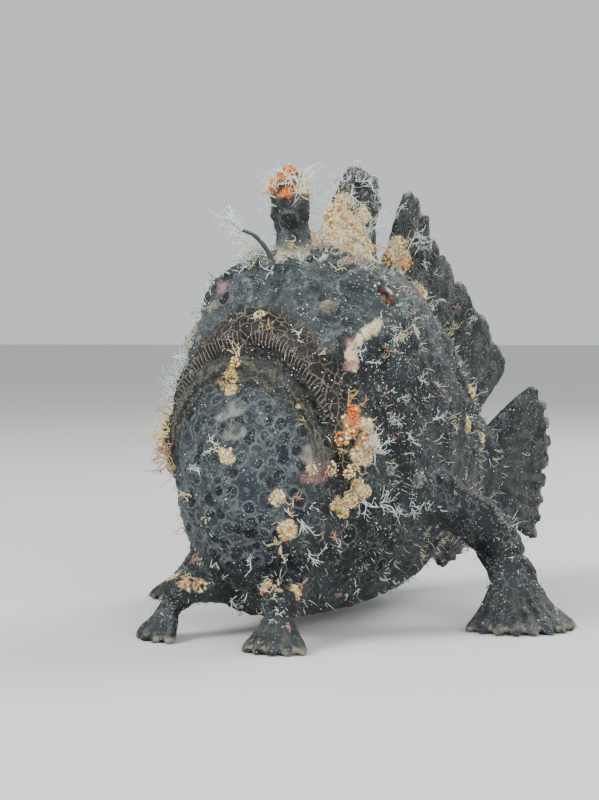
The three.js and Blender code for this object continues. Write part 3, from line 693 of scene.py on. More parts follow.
# %% [markdown]
# ## Warts out of view, and knobs
# The hidden side has warts like those in view, at listed places along and round the body. The
# knees and the top of the second spine carry rings of smaller knobs, which a loop sets out.

# %% Warts out of view, and the knobs of the knees and the cap
# Each entry: place along the body, turn round it in degrees, radius, height, how orange
FAR_WARTS = [
    (0, -86, 2.8, 3.2, 0.5), (-1, -79, 2.4, 2.8, 0.2), (1, -94, 2.4, 2.6, 0.4), (2, -72, 2.0, 2.2, 0.2),
    (4, -74, 2.6, 2.4, 0.7), (6, -88, 3.0, 2.8, 0.6), (20, -100, 2.6, 1.6, 0.2), (62, 26, 3.4, 2.2, 0.1),
    (66, 88, 2.4, 1.6, 0.1), (58, -60, 2.2, 1.6, 0.2), (74, -96, 2.2, 1.4, 0.1), (78, 70, 2.0, 1.4, 0.1),
    (34, 60, 2.2, 1.5, 0.0), (62, -114, 2.6, 1.6, 0.2), (98, 80, 1.8, 1.2, 0.1),
    (103, -86, 1.8, 1.2, 0.1),
]
for y, degrees, radius, height, rust in FAR_WARTS:
    point, normal = skin_point(place_of(y), rad(degrees))
    add_wart(point, normal, radius * 0.9, height * 0.8, rust, 0.5)
    granular.append((point, normal, radius, height, rust, 0.5))
KNEE = np.array([13.9, -10.8, 12.6])
for side in (-1, 1):
    for k in range(5):
        turn_k = 2 * np.pi * k / 5
        spot = KNEE * [side, 1, 1] + 2.4 * np.array([np.cos(turn_k), np.sin(turn_k), 0.25 * (k % 2)])
        up_way = np.array([0.3 * np.cos(turn_k), -0.3 + 0.3 * np.sin(turn_k), 1.0])
        up_way /= np.linalg.norm(up_way)
        add_wart(spot, up_way, 2.6, 2.6, 0.5, 0.7)
        granular.append((spot, up_way, 2.9, 2.9, 0.3, 0.8))
CAP_TOP = np.array(SPINE_TWO[-1])
# Each entry: how far from the axis, how high over the top, how many
CROWN = [(3.1, -1.2, 6), (3.0, 1.4, 5), (1.9, 3.6, 4)]
# The cap is orange but for the side towards the picture's right, which is cream
PALE_SIDE = AZIMUTH
for away_from_axis, up, many in CROWN:
    for k in range(many):
        turn_k = 2 * np.pi * k / many + up
        out_way = np.array([np.cos(turn_k), np.sin(turn_k), 0])
        spot = CAP_TOP + away_from_axis * out_way * (0.8 + 0.25 * (k % 3)) + [0, 0, up + 0.9 * (k % 2)]
        up_way = 0.55 * out_way + [0, 0, 0.8]
        up_way = up_way / np.linalg.norm(up_way)
        orange = 1.0 if np.cos(turn_k - PALE_SIDE) < 0.55 else 0.1
        add_wart(spot, up_way, 1.9, 1.8, orange, 1 - orange)
        granular.append((spot, up_way, 1.9, 1.8, 1.2 * orange, 1.0))
print("warts and knobs", len(granular))

# %% [markdown]
# ## Nostrils, gill openings and eyelids
# A frogfish breathes out through a small round pore behind each arm. Pores and nostrils are short
# tubes that narrow upwards, so no hole has to be cut. The lid is a tube bent into a ring.

# %% Pores and lids
PORE_STATIONS = [0, 0.6, 0.8, 1]
EYE_Y, EYE_TURN, EYE_SINK = 19.0, 48.0, 2.2
LID_RADIUS, LID_STEPS = 4.1, 24


def add_pore(y, degrees, rises, widths, sides, cream):
    """A tube that rises out of the skin through the given heights and narrows through the widths."""
    point, normal = skin_point(place_of(y), rad(degrees))
    stations = [point + normal * rise for rise in rises]
    size = round_section(lambda v: np.interp(v, PORE_STATIONS, widths))
    keep_tube(stations, size, (0.3, 0.5, 0.8), sides=sides, rows=24, cream=cream)


def eye_socket(side):
    """The middle of the eye's opening in the skin, with the outward direction."""
    return skin_point(place_of(EYE_Y), rad(EYE_TURN * side))


for side in (-1, 1):
    add_pore(6.0, 34.0 * side, (-1.5, 0.3, 1.4, 0.2), [1.6, 1.3, 0.9, 0.4], 16, 0.2)
    add_pore(50.0, 119.0 * side, (-1.5, 0.4, 1.6, 0.3), [2.4, 2.0, 1.4, 0.7], 20, 0.15)
lid_size = round_section(lambda v: 1.25 + 0.14 * np.sin(30 * v))
circle = np.linspace(0, 2 * np.pi, LID_STEPS + 1)[:, None]
lid_flecks = []
for side in (1, -1):
    eye_spot, eye_way = eye_socket(side)
    hub = eye_spot - 0.15 * eye_way
    first_way, other_way = across_of(eye_way, UPRIGHT)
    loop = hub + LID_RADIUS * (first_way * np.cos(circle) - other_way * np.sin(circle))
    keep_tube(loop, lid_size, eye_way, sides=14, rows=3 * LID_STEPS + 1)
    for k in range(0, LID_STEPS, 2):
        fleck = loop[k] + 1.2 * eye_way + 0.5 * (loop[k] - hub) / LID_RADIUS * (k % 4 - 1)
        lid_flecks.append((fleck, eye_way))
print("parts before joining", len(parts))

# %% [markdown]
# ## One skin over everything
# Real skin has no seams where a fin meets the body. Joining the grids face by face would leave sharp
# creases, so all are voxel remeshed into one closed surface, which is then smoothed a little.

# %% From grids to one remeshed skin
eye_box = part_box("eye_left")
eye_skin, eye_out = eye_socket(1)
EYE_CENTRE = eye_skin - EYE_SINK * eye_out
SHIFT = np.array((eye_box[0] + eye_box[1]) / 2) * 1000 - EYE_CENTRE
SHIFT[2] = 0
print("design origin sits at", SHIFT.round(2))


def to_mesh(name, verts, faces):
    """A Blender mesh in metres, in the frame of the solids."""
    mesh = bpy.data.meshes.new(name)
    mesh.from_pydata(((verts + SHIFT) / 1000).tolist(), [], faces.tolist())
    mesh.update()
    return mesh


def to_object(name, mesh):
    """Link a mesh into the scene as an object at the origin."""
    obj = bpy.data.objects.new(name, mesh)
    bpy.context.scene.collection.objects.link(obj)
    return obj


VOXEL = 0.00082
source_verts, source_faces, source_tags = joined(parts)
raw = to_object("raw_skin", to_mesh("raw_skin", source_verts, source_faces))
remesh = raw.modifiers.new("remesh", "REMESH")
remesh.mode = "VOXEL"
remesh.voxel_size = VOXEL
soften = raw.modifiers.new("soften", "SMOOTH")
soften.factor = 0.5
soften.iterations = 3
graph = bpy.context.evaluated_depsgraph_get()
skin_mesh = bpy.data.meshes.new_from_object(raw.evaluated_get(graph))
bpy.data.objects.remove(raw)
count = len(skin_mesh.vertices)
flat = np.empty(count * 3)
skin_mesh.vertices.foreach_get("co", flat)
skin_verts = flat.reshape(-1, 3) * 1000 - SHIFT
skin_mesh.vertices.foreach_get("normal", flat)
skin_normals = flat.reshape(-1, 3).copy()
print("skin", count, "vertices,", sum(len(p.vertices) - 2 for p in skin_mesh.polygons), "triangles")

# %% [markdown]
# ## Tags and fine roughness
# The remeshed skin has forgotten which grid a vertex came from. Painting it by hand would be slow, so
# each vertex takes over the numbers of the nearest vertex of the grids. Fine waves then roughen it, but
# not on the soles, which are laid flat on the floor.

# %% Hand the tags on and roughen the skin
SOLE_LIFT = 0.03
tree = KDTree(len(source_verts))
for i, p in enumerate(source_verts.tolist()):
    tree.insert(p, i)
tree.balance()
nearest = np.array([tree.find(p)[1] for p in skin_verts.tolist()])
tag = dict(zip(TAGS, source_tags[nearest].T))
on_fin = smooth_step(0.15, 0.4, tag["edge"])
rough_height = 0.2 * waves(skin_verts, 3.6, 5, 24) + 0.12 * waves(skin_verts, 2.2, 6, 30)
rough_height = np.maximum(rough_height, -0.25) * (1 - 0.75 * on_fin)
lift = smooth_step(0.5, 3.0, skin_verts[:, 2])
skin_verts = skin_verts + skin_normals * (rough_height * lift)[:, None]
skin_verts[:, 2] -= (skin_verts[:, 2].min() - SOLE_LIFT) * smooth_step(3.0, 0.8, skin_verts[:, 2])
skin_mesh.vertices.foreach_set("co", ((skin_verts + SHIFT) / 1000).ravel())
skin_mesh.update()
print("roughness from", rough_height.min().round(2), "to", rough_height.max().round(2), "mm")

# %% [markdown]
# ## Where each colour lies
# Most colours follow the animal: cream saddle behind the second spine, rust on the growths, rose on the
# cheek fold, a banded upper lip, a slate throat. The cheek's hollow and the mouth's groove get painted
# shade. Each is one number per vertex.

# %% Colour regions
skin_faces = [list(p.vertices) for p in skin_mesh.polygons]
target = BVHTree.FromPolygons(skin_verts.tolist(), skin_faces)


def blob(spots):
    """The strongest of several soft round patches, each sighted at a spot of the picture."""
    out = np.zeros(len(skin_verts))
    for px, py, reach in spots:
        found = sighted(px, py)
        if found is None:
            continue
        away = np.linalg.norm(skin_verts - found[0], axis=1) + 0.9 * waves(skin_verts, 5, 9)
        out = np.maximum(out, smooth_step(reach, reach * 0.55, away))
    return out


# Each entry: spot across and down, radius of a dark spot with a pale ring
RINGED = [
    (288, 222, 2.6), (436, 314, 3.2), (384, 178, 2.0), (358, 186, 1.8), (315, 416, 1.7), (327, 384, 1.3),
    (214, 556, 2.3), (250, 533, 2.1), (236, 553, 1.8), (300, 500, 1.9),
]
# Each entry of a patch list: spot across and down, and the patch's radius
CREAM_PATCHES = [
    (324, 206, 6), (340, 222, 8), (356, 238, 8), (338, 246, 6), (398, 248, 5), (407, 262, 5), (368, 254, 5),
]
RUST_PATCHES = [(352, 418, 3.2)]
ROSE_PATCHES = [(222, 288, 3.2), (352, 262, 4.0), (318, 470, 4.0), (351, 349, 1.5), (352, 369, 1.5)]
PALE_PATCHES = [
    (234, 430, 3.2), (236, 412, 2.6), (222, 418, 2.4), (320, 455, 5), (330, 440, 4), (258, 330, 2.6),
]
# Painted shade: dark patches on the cheek behind the pale flap, where the flap's ridge shades the recess
CHEEK_SHADE_PATCHES = [(378, 362, 8), (388, 400, 10), (396, 440, 9), (420, 400, 8)]
ringed_spot = np.full(len(skin_verts), 3.0)
for px, py, reach in RINGED:
    found = sighted(px, py)
    if found is not None:
        ringed_spot = np.minimum(ringed_spot, np.linalg.norm(skin_verts - found[0], axis=1) / reach)
ringed_spot += 0.09 * waves(skin_verts, 3, 19)

lips = lip_place(skin_verts)
front = in_front(skin_verts)
arch_turn = np.arctan2(skin_verts[:, 0] / MOUTH_HALF, (skin_verts[:, 2] - CORNER_Z) / MOUTH_RISE)
on_brow = smooth_step(70, 80, skin_verts[:, 2]) * smooth_step(40, 26, skin_verts[:, 1])
comb_band = smooth_step(0.02, 0.12, lips) * smooth_step(0.6, 0.5, lips)
comb_reach = smooth_step(1.3, 1.0, np.abs(arch_turn)) * smooth_step(0.05, 0.11, np.abs(arch_turn))
regions = {
    "cream": np.maximum(tag["cream"], blob(CREAM_PATCHES)),
    "rust": np.maximum(tag["rust"], 0.45 * blob(RUST_PATCHES)),
    "dark_top": smooth_step(101, 105, skin_verts[:, 2]) * smooth_step(28, 24, skin_verts[:, 1]),
    "rose": 0.6 * blob(ROSE_PATCHES),
    "pale": blob(PALE_PATCHES),
    "brow": on_brow * smooth_step(0.9, 1.5, lips),
    "lip": front * smooth_step(0.05, 0.2, lips) * smooth_step(1.5, 1.2, lips),
    "comb": front * comb_band * comb_reach,
    "lower": front * smooth_step(-0.02, -0.15, lips) * smooth_step(-1.35, -1.1, lips),
    "across": lips,
    # painted shade: the groove along the line of the mouth is coloured near black
    "mouth_line_shade": front * bell(lips, 0.1),
    "lip_turn": arch_turn,
    "throat": smooth_step(-0.3, -0.9, lips) * smooth_step(6, -2, skin_verts[:, 1]),
    "ray": tag["ray"] * smooth_step(0.25, 0.5, tag["edge"]),
    "edge": tag["edge"],
    "ringed": ringed_spot,
    "fold": np.clip(folds(skin_verts), 0, 1),
    # painted shade in the cheek's recess behind the flap
    "cheek_shade": blob(CHEEK_SHADE_PATCHES),
}


def add_number(mesh, name, values):
    """Give a mesh one number per vertex, which a material can read by its name."""
    mesh.attributes.new(name, "FLOAT", "POINT").data.foreach_set("value", values.astype(np.float32))


for name, values in regions.items():
    add_number(skin_mesh, name, values)
print("regions", {k: round(float(v.mean()), 3) for k, v in regions.items()})

# %% [markdown]
# ## The skin material
# Frogfish skin is matt and covered in tiny forked scales. The pattern is built from cell noise in object
# space: rings round dark spots, a pale network, fine dots. Cell noise is chosen over painted maps because
# it stays sharp at any distance and needs no image. A small class keeps each node to one short line.


# %% Node helpers
class Shader:
    """Adds nodes to one material and links them by what is passed in."""

    def __init__(self, name):
        self.material = bpy.data.materials.new(name)
        self.material.use_nodes = True
        self.tree = self.material.node_tree
        self.surface = self.tree.nodes["Principled BSDF"]

    def add(self, kind, inputs=(), **settings):
        """One node, with its settings and what goes into it."""
        made = self.tree.nodes.new(kind)
        for key, value in settings.items():
            setattr(made, key, value)
        for key, value in dict(inputs).items():
            self.put(made.inputs[key], value)
        return made

    def put(self, socket, value):
        """Link another node's output to a socket, or set the socket's own value."""
        if isinstance(value, bpy.types.NodeSocket):
            self.tree.links.new(value, socket)
        else:
            socket.default_value = value

    def math(self, kind, a, b=0.0):
        """Arithmetic on one or two numbers."""
        return self.add("ShaderNodeMath", {0: a, 1: b}, operation=kind).outputs[0]

    def band(self, value, low, high, top=1.0):
        """0 below low, top above high; high may be below low."""
        inputs = {"Value": value, "To Max": top}
        made = self.add("ShaderNodeMapRange", inputs, interpolation_type="SMOOTHSTEP")
        if high > low:
            made.inputs["From Min"].default_value, made.inputs["From Max"].default_value = low, high
        else:
            made.inputs["From Min"].default_value, made.inputs["From Max"].default_value = high, low
            made.inputs["To Min"].default_value, made.inputs["To Max"].default_value = top, 0.0
        return made.outputs["Result"]

    def times(self, a, b):
        """The product of two numbers."""
        return self.math("MULTIPLY", a, b)

    def mix(self, a, b, factor):
        """The first colour where the factor is 0, the second where it is 1."""
        made = self.add("ShaderNodeMix", data_type="RGBA")
        colours = [s for s in made.inputs if s.type == "RGBA"]
        self.put(made.inputs[0], factor)
        self.put(colours[0], (*a, 1) if isinstance(a, tuple) else a)
        self.put(colours[1], (*b, 1) if isinstance(b, tuple) else b)
        return [s for s in made.outputs if s.type == "RGBA"][0]

    def number(self, name):
        """The number per vertex of that name."""
        return self.add("ShaderNodeAttribute", attribute_name=name).outputs["Fac"]

    def cells(self, size, coordinate, feature="F1", **more):
        """Cell noise whose cells are size millimetres wide."""
        return self.add(
            "ShaderNodeTexVoronoi", {"Vector": coordinate, "Scale": 1000 / size, **more}, feature=feature
        ).outputs

    def noise(self, size, coordinate, detail=2.0):
        """Soft noise whose patches are size millimetres wide."""
        return self.add(
            "ShaderNodeTexNoise", {"Vector": coordinate, "Scale": 1000 / size, "Detail": detail}
        ).outputs["Fac"]

# %% [markdown]
# ## Tones of the whole skin
# The ground colour is nearly black, with brown mottles and a greyer brow. Noises of three sizes serve
# this cell and those that follow. Cell patterns are read at a place that noise has pushed about, because
# cells with straight sides would look drawn.

# %% Tones of the whole skin
WARP = 0.0011
skin = Shader("frogfish_skin")
here = skin.add("ShaderNodeTexCoord").outputs["Object"]
wobble = skin.add("ShaderNodeTexNoise", {"Vector": here, "Scale": 350.0, "Detail": 2.0}).outputs["Color"]
warped = skin.add(
    "ShaderNodeVectorMath", {0: wobble, 1: (WARP, WARP, WARP), 2: here}, operation="MULTIPLY_ADD"
).outputs[0]

broad = skin.noise(16, here, 3)
fine = skin.noise(3.2, here, 3)
grit = skin.noise(0.9, here, 2)
colour = skin.mix((0.006, 0.008, 0.010), (0.026, 0.033, 0.036), skin.band(broad, 0.36, 0.66))
colour = skin.mix(colour, (0.016, 0.012, 0.009), skin.band(fine, 0.5, 0.72, 0.7))
brow_tone = skin.times(skin.number("brow"), skin.band(fine, 0.38, 0.6, 0.75))
colour = skin.mix(colour, (0.04, 0.052, 0.056), brow_tone)


def flecks(distance, outer, inner, patch, low, high, top=1.0, strength=1.0):
    """Dots round the middles of small cells, kept only where a broader noise is high."""
    dot = skin.band(distance, outer, inner, strength)
    return skin.times(dot, skin.band(skin.noise(patch, here), low, high, top))


print("base tones use", len(skin.tree.nodes), "nodes")

# %% [markdown]
# ## The throat and the pale network
# The throat is slate blue with packed dark spots, each in a faint pale ring, like foam seen from above.
# One cell pattern gives both: its distance from the middle draws the spots, its random colour their tone.

# %% Throat and network
throat_cells = skin.cells(3.4, warped, Randomness=0.72)
from_middle = throat_cells["Distance"]
slate = skin.mix((0.006, 0.009, 0.014), (0.019, 0.026, 0.031), skin.band(from_middle, 0.4, 0.54))
cell_tone = skin.add("ShaderNodeSeparateColor", {0: throat_cells["Color"]}).outputs[0]
slate = skin.mix(slate, (0.034, 0.045, 0.051), skin.band(cell_tone, 0.6, 0.85, 0.45))
throat_ring = skin.times(skin.band(from_middle, 0.42, 0.5), skin.band(from_middle, 0.66, 0.54))
throat_ring = skin.times(throat_ring, skin.band(fine, 0.34, 0.58, 0.6))
slate = skin.mix(slate, (0.105, 0.13, 0.13), throat_ring)
throat_dots = skin.cells(0.75, here)["Distance"]
slate = skin.mix(slate, (0.15, 0.19, 0.2), flecks(throat_dots, 0.3, 0.18, 2.5, 0.4, 0.6, 0.4))
colour = skin.mix(colour, slate, skin.number("throat"))
net = skin.cells(2.3, warped, "DISTANCE_TO_EDGE")["Distance"]
net_line = skin.band(net, 0.11, 0.02)
net_where = skin.times(net_line, skin.band(skin.noise(7, here), 0.46, 0.62, 0.4))
colour = skin.mix(colour, (0.12, 0.14, 0.13), net_where)
print("with the throat", len(skin.tree.nodes), "nodes")

# %% [markdown]
# ## Ringed spots, ridges and painted shade in the cheek's hollow
# Round black spots with a pale rim mark this kind of frogfish. Some cells of a large pattern hold one,
# and the ones in view are placed by a number per vertex. Ridges are paler, and painted shade darkens the
# cheek's hollow behind the flap.

# %% Ringed spots, ridges and painted shade in the cheek's hollow
INK = (0.006, 0.006, 0.007)
spots = skin.cells(12.5, warped)
spot_parts = skin.add("ShaderNodeSeparateColor", {0: spots["Color"]}).outputs
chosen = skin.band(spot_parts[0], 0.5, 0.54)
spot_near = skin.math("SUBTRACT", spots["Distance"], skin.times(spot_parts[1], 0.08))
rim = skin.times(skin.band(spot_near, 0.17, 0.145, 0.6), chosen)
colour = skin.mix(colour, (0.12, 0.12, 0.1), rim)
colour = skin.mix(colour, INK, skin.times(skin.band(spot_near, 0.135, 0.12), chosen))
pale_fold = skin.times(skin.number("fold"), skin.band(grit, 0.38, 0.6, 0.7))
colour = skin.mix(colour, (0.15, 0.18, 0.18), pale_fold)
colour = skin.mix(colour, (0.012, 0.010, 0.009), skin.times(skin.number("dark_top"), 0.7))
# Painted shade: the recessed cheek behind the flap is darkened nearly to black
colour = skin.mix(colour, (0.005, 0.006, 0.007), skin.times(skin.number("cheek_shade"), 0.75))
ringed = skin.number("ringed")
ring = skin.times(skin.band(ringed, 0.86, 0.98), skin.band(ringed, 1.3, 1.08))
ring = skin.times(ring, skin.band(fine, 0.3, 0.6, 0.65))
colour = skin.mix(colour, (0.09, 0.1, 0.09), ring)
colour = skin.mix(colour, INK, skin.band(ringed, 0.95, 0.7, 0.85))
print("with the spots", len(skin.tree.nodes), "nodes")

# %% [markdown]
# ## Growths that have crept over the skin
# Sponge-like crusts in orange, cream and rose grow on a frogfish and help it hide. One flat colour each
# would look painted on, so each is two tones that a noise mixes, laid on by its number per vertex.

# %% Crusts in orange, cream, rose and grey
rust_colour = skin.mix((0.5, 0.09, 0.015), (0.6, 0.3, 0.05), skin.band(grit, 0.4, 0.62))
cream_colour = skin.mix((0.66, 0.58, 0.38), (0.36, 0.27, 0.14), skin.band(grit, 0.5, 0.66))
rose_colour = skin.mix((0.46, 0.24, 0.21), (0.2, 0.12, 0.11), skin.band(grit, 0.45, 0.62))
pale_colour = skin.mix((0.3, 0.31, 0.26), (0.1, 0.11, 0.1), skin.band(fine, 0.42, 0.6))
colour = skin.mix(colour, pale_colour, skin.times(skin.number("pale"), 0.5))
colour = skin.mix(colour, cream_colour, skin.times(skin.number("cream"), skin.band(fine, 0.25, 0.42)))
colour = skin.mix(colour, rose_colour, skin.number("rose"))
colour = skin.mix(colour, rust_colour, skin.times(skin.number("rust"), skin.band(fine, 0.25, 0.4)))
print("with the crusts", len(skin.tree.nodes), "nodes")

# %% [markdown]
# ## Lips
# The lower lip has wavy pale lines along it, the upper lip a mesh of them, and its edge a comb of short
# bars. Straight stripes would cut across the arch, so the lower lip's lines are a sine of the place
# across it, and the bars a sine of the turn along the arch.

# %% Lips
COMB_BARS = 150.0
wavy = skin.math("ADD", skin.times(skin.number("across"), 12.0), skin.times(fine, 15.0))
lower_fold = skin.math("SINE", wavy)
lower_colour = skin.mix((0.014, 0.013, 0.011), (0.085, 0.074, 0.043), skin.band(lower_fold, -0.2, 0.98))
lower_colour = skin.mix(lower_colour, (0.03, 0.036, 0.036), skin.band(grit, 0.46, 0.6, 0.75))
colour = skin.mix(colour, lower_colour, skin.times(skin.number("lower"), 0.8))
lip_cells = skin.cells(3.0, warped, "DISTANCE_TO_EDGE")["Distance"]
lip_colour = skin.mix((0.14, 0.125, 0.085), (0.010, 0.007, 0.006), skin.band(lip_cells, 0.012, 0.055))
lip_colour = skin.mix(lip_colour, (0.04, 0.03, 0.023), skin.band(broad, 0.5, 0.62, 0.35))
colour = skin.mix(colour, lip_colour, skin.times(skin.number("lip"), 0.92))
comb_wave = skin.math("SINE", skin.times(skin.number("lip_turn"), COMB_BARS))
comb_colour = skin.mix((0.012, 0.008, 0.007), (0.17, 0.145, 0.1), skin.band(comb_wave, 0.5, 0.98))
colour = skin.mix(colour, comb_colour, skin.times(skin.number("comb"), 0.9))
# Painted shade: the groove where the lips meet is coloured near black
colour = skin.mix(colour, (0.006, 0.005, 0.005), skin.number("mouth_line_shade"))
print("with the lips", len(skin.tree.nodes), "nodes")

# %% [markdown]
# ## Fin rays, dots and the finish
# Rays and fin edges are a little paler. Three sizes of white dots stand for the skin's forked scales.
# The fine relief is bump, because scales this small would need millions of faces. The surface is matt.

# %% Fin rays, dots and the finish
pale_ray = skin.times(skin.number("ray"), skin.band(fine, 0.42, 0.6, 0.7))
pale_edge = skin.band(skin.number("edge"), 0.9, 0.99, 0.6)
colour = skin.mix(colour, (0.075, 0.075, 0.06), pale_ray)
colour = skin.mix(colour, (0.3, 0.28, 0.2), skin.times(pale_edge, skin.band(fine, 0.4, 0.6)))
dots = skin.cells(1.05, here)["Distance"]
colour = skin.mix(colour, (0.2, 0.235, 0.23), flecks(dots, 0.3, 0.18, 6, 0.35, 0.6, 0.5))
tiny = skin.cells(0.6, here)["Distance"]
colour = skin.mix(colour, (0.34, 0.38, 0.37), flecks(tiny, 0.28, 0.16, 4, 0.48, 0.62, 0.6))
specks = skin.cells(2.4, here)["Distance"]
colour = skin.mix(colour, (0.7, 0.78, 0.76), flecks(specks, 0.1, 0.06, 9, 0.44, 0.56, strength=0.9))

height = skin.times(skin.band(dots, 0.42, 0.1), 0.45)
height = skin.math("ADD", height, skin.times(skin.noise(1.6, here, 4), 0.8))
height = skin.math("ADD", height, skin.times(net_line, 0.25))
bump = skin.add("ShaderNodeBump", {"Height": height, "Strength": 0.75, "Distance": 0.00045}).outputs[0]
skin.put(skin.surface.inputs["Base Color"], colour)
skin.put(skin.surface.inputs["Normal"], bump)
skin.put(skin.surface.inputs["Roughness"], 0.55)
skin.put(skin.surface.inputs["Specular IOR Level"], 0.22)
print("the skin's material has", len(skin.tree.nodes), "nodes")

# %% [markdown]
# ## The skin takes the flesh's place
# The solids of the flesh stay in the file for size and weight, but the skin is what is seen. One
# piece stands for all fifteen of them, because the real skin runs over every joint.

# %% Put the skin in place of the flesh
FLESH = [
    "head", "lower_jaw", "torso", "tail_base", "second_dorsal_spine", "third_dorsal_spine", "dorsal_fin",
    "caudal_fin", "anal_fin", "pectoral_arm_left", "pectoral_arm_right", "pectoral_fin_left",
    "pectoral_fin_right", "pelvic_fin_left", "pelvic_fin_right",
]


def finish_piece(obj, material, nodes=()):
    """Give the piece its material and smooth shading, hang it under the root body, and hide the solids it
    replaces.
    """
    obj.data.materials.clear()
    obj.data.materials.append(material)
    obj.data.shade_smooth()
    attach(obj, "root")
    if nodes:
        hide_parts(*nodes)


skin_object = to_object("skin_of_the_fish", skin_mesh)
finish_piece(skin_object, skin.material, FLESH)
print("skin stands for", len(FLESH), "solids")

# %% [markdown]
# ## Eyes
# The eye is small: a dark iris with rust dots set like spokes round a black pupil, under a damp surface.
# A painted map would do, but the angle and distance round the eye's own axis, kept per vertex, need none.

# %% Two eyeballs
EYE_RADIUS = 4.3
AWAY_STEPS, TURN_STEPS = 73, 96


def eyeball(side):
    """A sphere whose pole points out of the socket, with distance from the pole and angle round it."""
    point, out = eye_socket(side)
    centre = point - EYE_SINK * out
    aim = out + np.array([0, -0.55, -0.1])
    aim /= np.linalg.norm(aim)
    first_side, second_side = across_of(aim, UPRIGHT)
    turns = np.linspace(0, 2 * np.pi, TURN_STEPS, endpoint=False)
    away, t = np.meshgrid(np.linspace(0, np.pi, AWAY_STEPS), turns, indexing="ij")
    swell = EYE_RADIUS - 0.1 + 0.08 * bell(away, 0.5)
    ring = first_side * np.cos(t)[..., None] - second_side * np.sin(t)[..., None]
    verts = centre + (swell * np.cos(away))[..., None] * aim + (swell * np.sin(away))[..., None] * ring
    return verts.reshape(-1, 3), grid_faces(AWAY_STEPS, TURN_STEPS, True), away.ravel(), t.ravel()


eye = Shader("frogfish_eye")
away_here = eye.number("away")
eye_turn = eye.number("spin")
spokes = eye.math("COSINE", eye.times(eye_turn, 9.0))
lit_side = eye.band(eye.math("COSINE", eye.math("SUBTRACT", eye_turn, 3.4)), -0.6, 0.9)
eye_grit = eye.noise(0.8, eye.add("ShaderNodeTexCoord").outputs["Object"], 3)
iris = eye.mix((0.022, 0.012, 0.009), (0.07, 0.032, 0.018), eye.band(eye_grit, 0.42, 0.62))
spoke_mask = eye.times(eye.band(spokes, 0.2, 0.95), eye.band(away_here, 0.32, 0.4, 0.9))
iris = eye.mix(iris, (0.42, 0.07, 0.012), eye.times(spoke_mask, lit_side))
iris = eye.mix(iris, (0.012, 0.011, 0.011), eye.band(away_here, 0.54, 0.66, 0.95))
iris = eye.mix((0.12, 0.04, 0.018), iris, eye.band(away_here, 0.28, 0.31))
iris = eye.mix((0.003, 0.003, 0.004), iris, eye.band(away_here, 0.24, 0.265))
eye.put(eye.surface.inputs["Base Color"], iris)
eye.put(eye.surface.inputs["Roughness"], 0.3)
eye.put(eye.surface.inputs["Specular IOR Level"], 0.3)
eye.put(eye.surface.inputs["Coat Weight"], 0.15)
eye.put(eye.surface.inputs["Coat Roughness"], 0.14)
for side, name in ((1, "eye_left"), (-1, "eye_right")):
    verts, faces, away, spin = eyeball(side)
    ball = to_object("wet_" + name, to_mesh("wet_" + name, verts, faces[:, ::-1]))
    add_number(ball.data, "away", away)
    add_number(ball.data, "spin", spin)
    finish_piece(ball, eye.material, [name])
print("each eyeball has", AWAY_STEPS, "by", TURN_STEPS, "points")

# %% [markdown]
# ## Tufts, filaments and specks
# Soft threads and small forked tufts break up the outline. They are real tapered tubes, because
# particle hair would not travel with the model. Each takes a tiny patch of the texture map at its root.

# %% Threads, fronds and grains
PAINTS = {
    "white": (0.62, 0.7, 0.66),
    "cream": (0.66, 0.56, 0.31),
    "yellow": (0.6, 0.42, 0.14),
    "orange": (0.56, 0.13, 0.02),
    "rose": (0.52, 0.27, 0.2),
    "grey": (0.16, 0.19, 0.19),
}
PATCH = 0.003
STEM_STEPS = 5


def unwrap(p):
    """The skin's own map: the turn round the body across, the length along it up."""
    x = p[..., 0] - bend(p[..., 1])
    turn = np.arctan2(x, p[..., 2] - 45) / (2 * np.pi) + 0.5
    return np.stack([turn * 0.98 + 0.01, np.clip((p[..., 1] + 26) / 176, 0, 1) * 0.98 + 0.01], -1)


def painted(paint, count, rng, spread=0.18):
    """One paint for all vertices of a small piece, a little lighter or darker each time."""
    colour = np.array(PAINTS[paint]) * rng.uniform(1 - spread, 1 + spread)
    return np.tile(np.clip(colour, 0, 1), (count, 1))


def thread(store, points, start, end, paint, rng, sides=4, rows=8):
    """One tapered tube with its paint and its patch of the map at its root."""
    verts, faces, v = tube(points, round_section(lambda v: lerp(start, end, v**1.4)), SKEW, sides, rows)
    around = np.tile(np.linspace(0, 1, sides), rows)
    uv = unwrap(np.asarray(points[0])) + PATCH * np.stack([around - 0.5, v - 0.5], -1)
    store.append((verts, faces, painted(paint, len(verts), rng), uv))


def frond(store, root, way, length, paint, rng, width, twigs):
    """A curling stem whose direction drifts as it goes, with short side twigs."""
    heading = way / np.linalg.norm(way)
    points = [root - 0.4 * heading]
    at = root.copy()
    for _ in range(STEM_STEPS):
        at = at + heading * length / STEM_STEPS
        points.append(at.copy())
        heading = heading + rng.normal(size=3) * 0.42
        heading /= np.linalg.norm(heading)
    points = np.array(points)
    thread(store, points, width, 0.06, paint, rng)
    for _ in range(twigs):
        place = rng.uniform(1.2, 4.9)
        foot = through(points, place)
        twig = rng.normal(size=3)
        twig = twig / np.linalg.norm(twig) + 0.7 * heading
        reach = length * rng.uniform(0.14, 0.34)
        bow = rng.normal(size=3) * 0.3 * reach
        tip = foot + reach * twig + bow
        path = [foot, foot + 0.5 * reach * twig + 0.3 * bow, tip]
        thread(store, path, width * 0.6, 0.05, paint, rng, 3, 4)


def tuft(store, point, normal, count, length, paint, rng, width=0.15, spread=0.9, twigs=5):
    """Several fronds that fan out of one root."""
    for _ in range(count):
        way = normal + rng.normal(size=3) * 0.5 * spread
        way = way + normal * max(0, 0.3 - way @ normal)
        spot = point + rng.normal(size=3) * 0.5
        frond(store, spot, way, length * rng.uniform(0.55, 1.1), paint, rng, width, twigs)


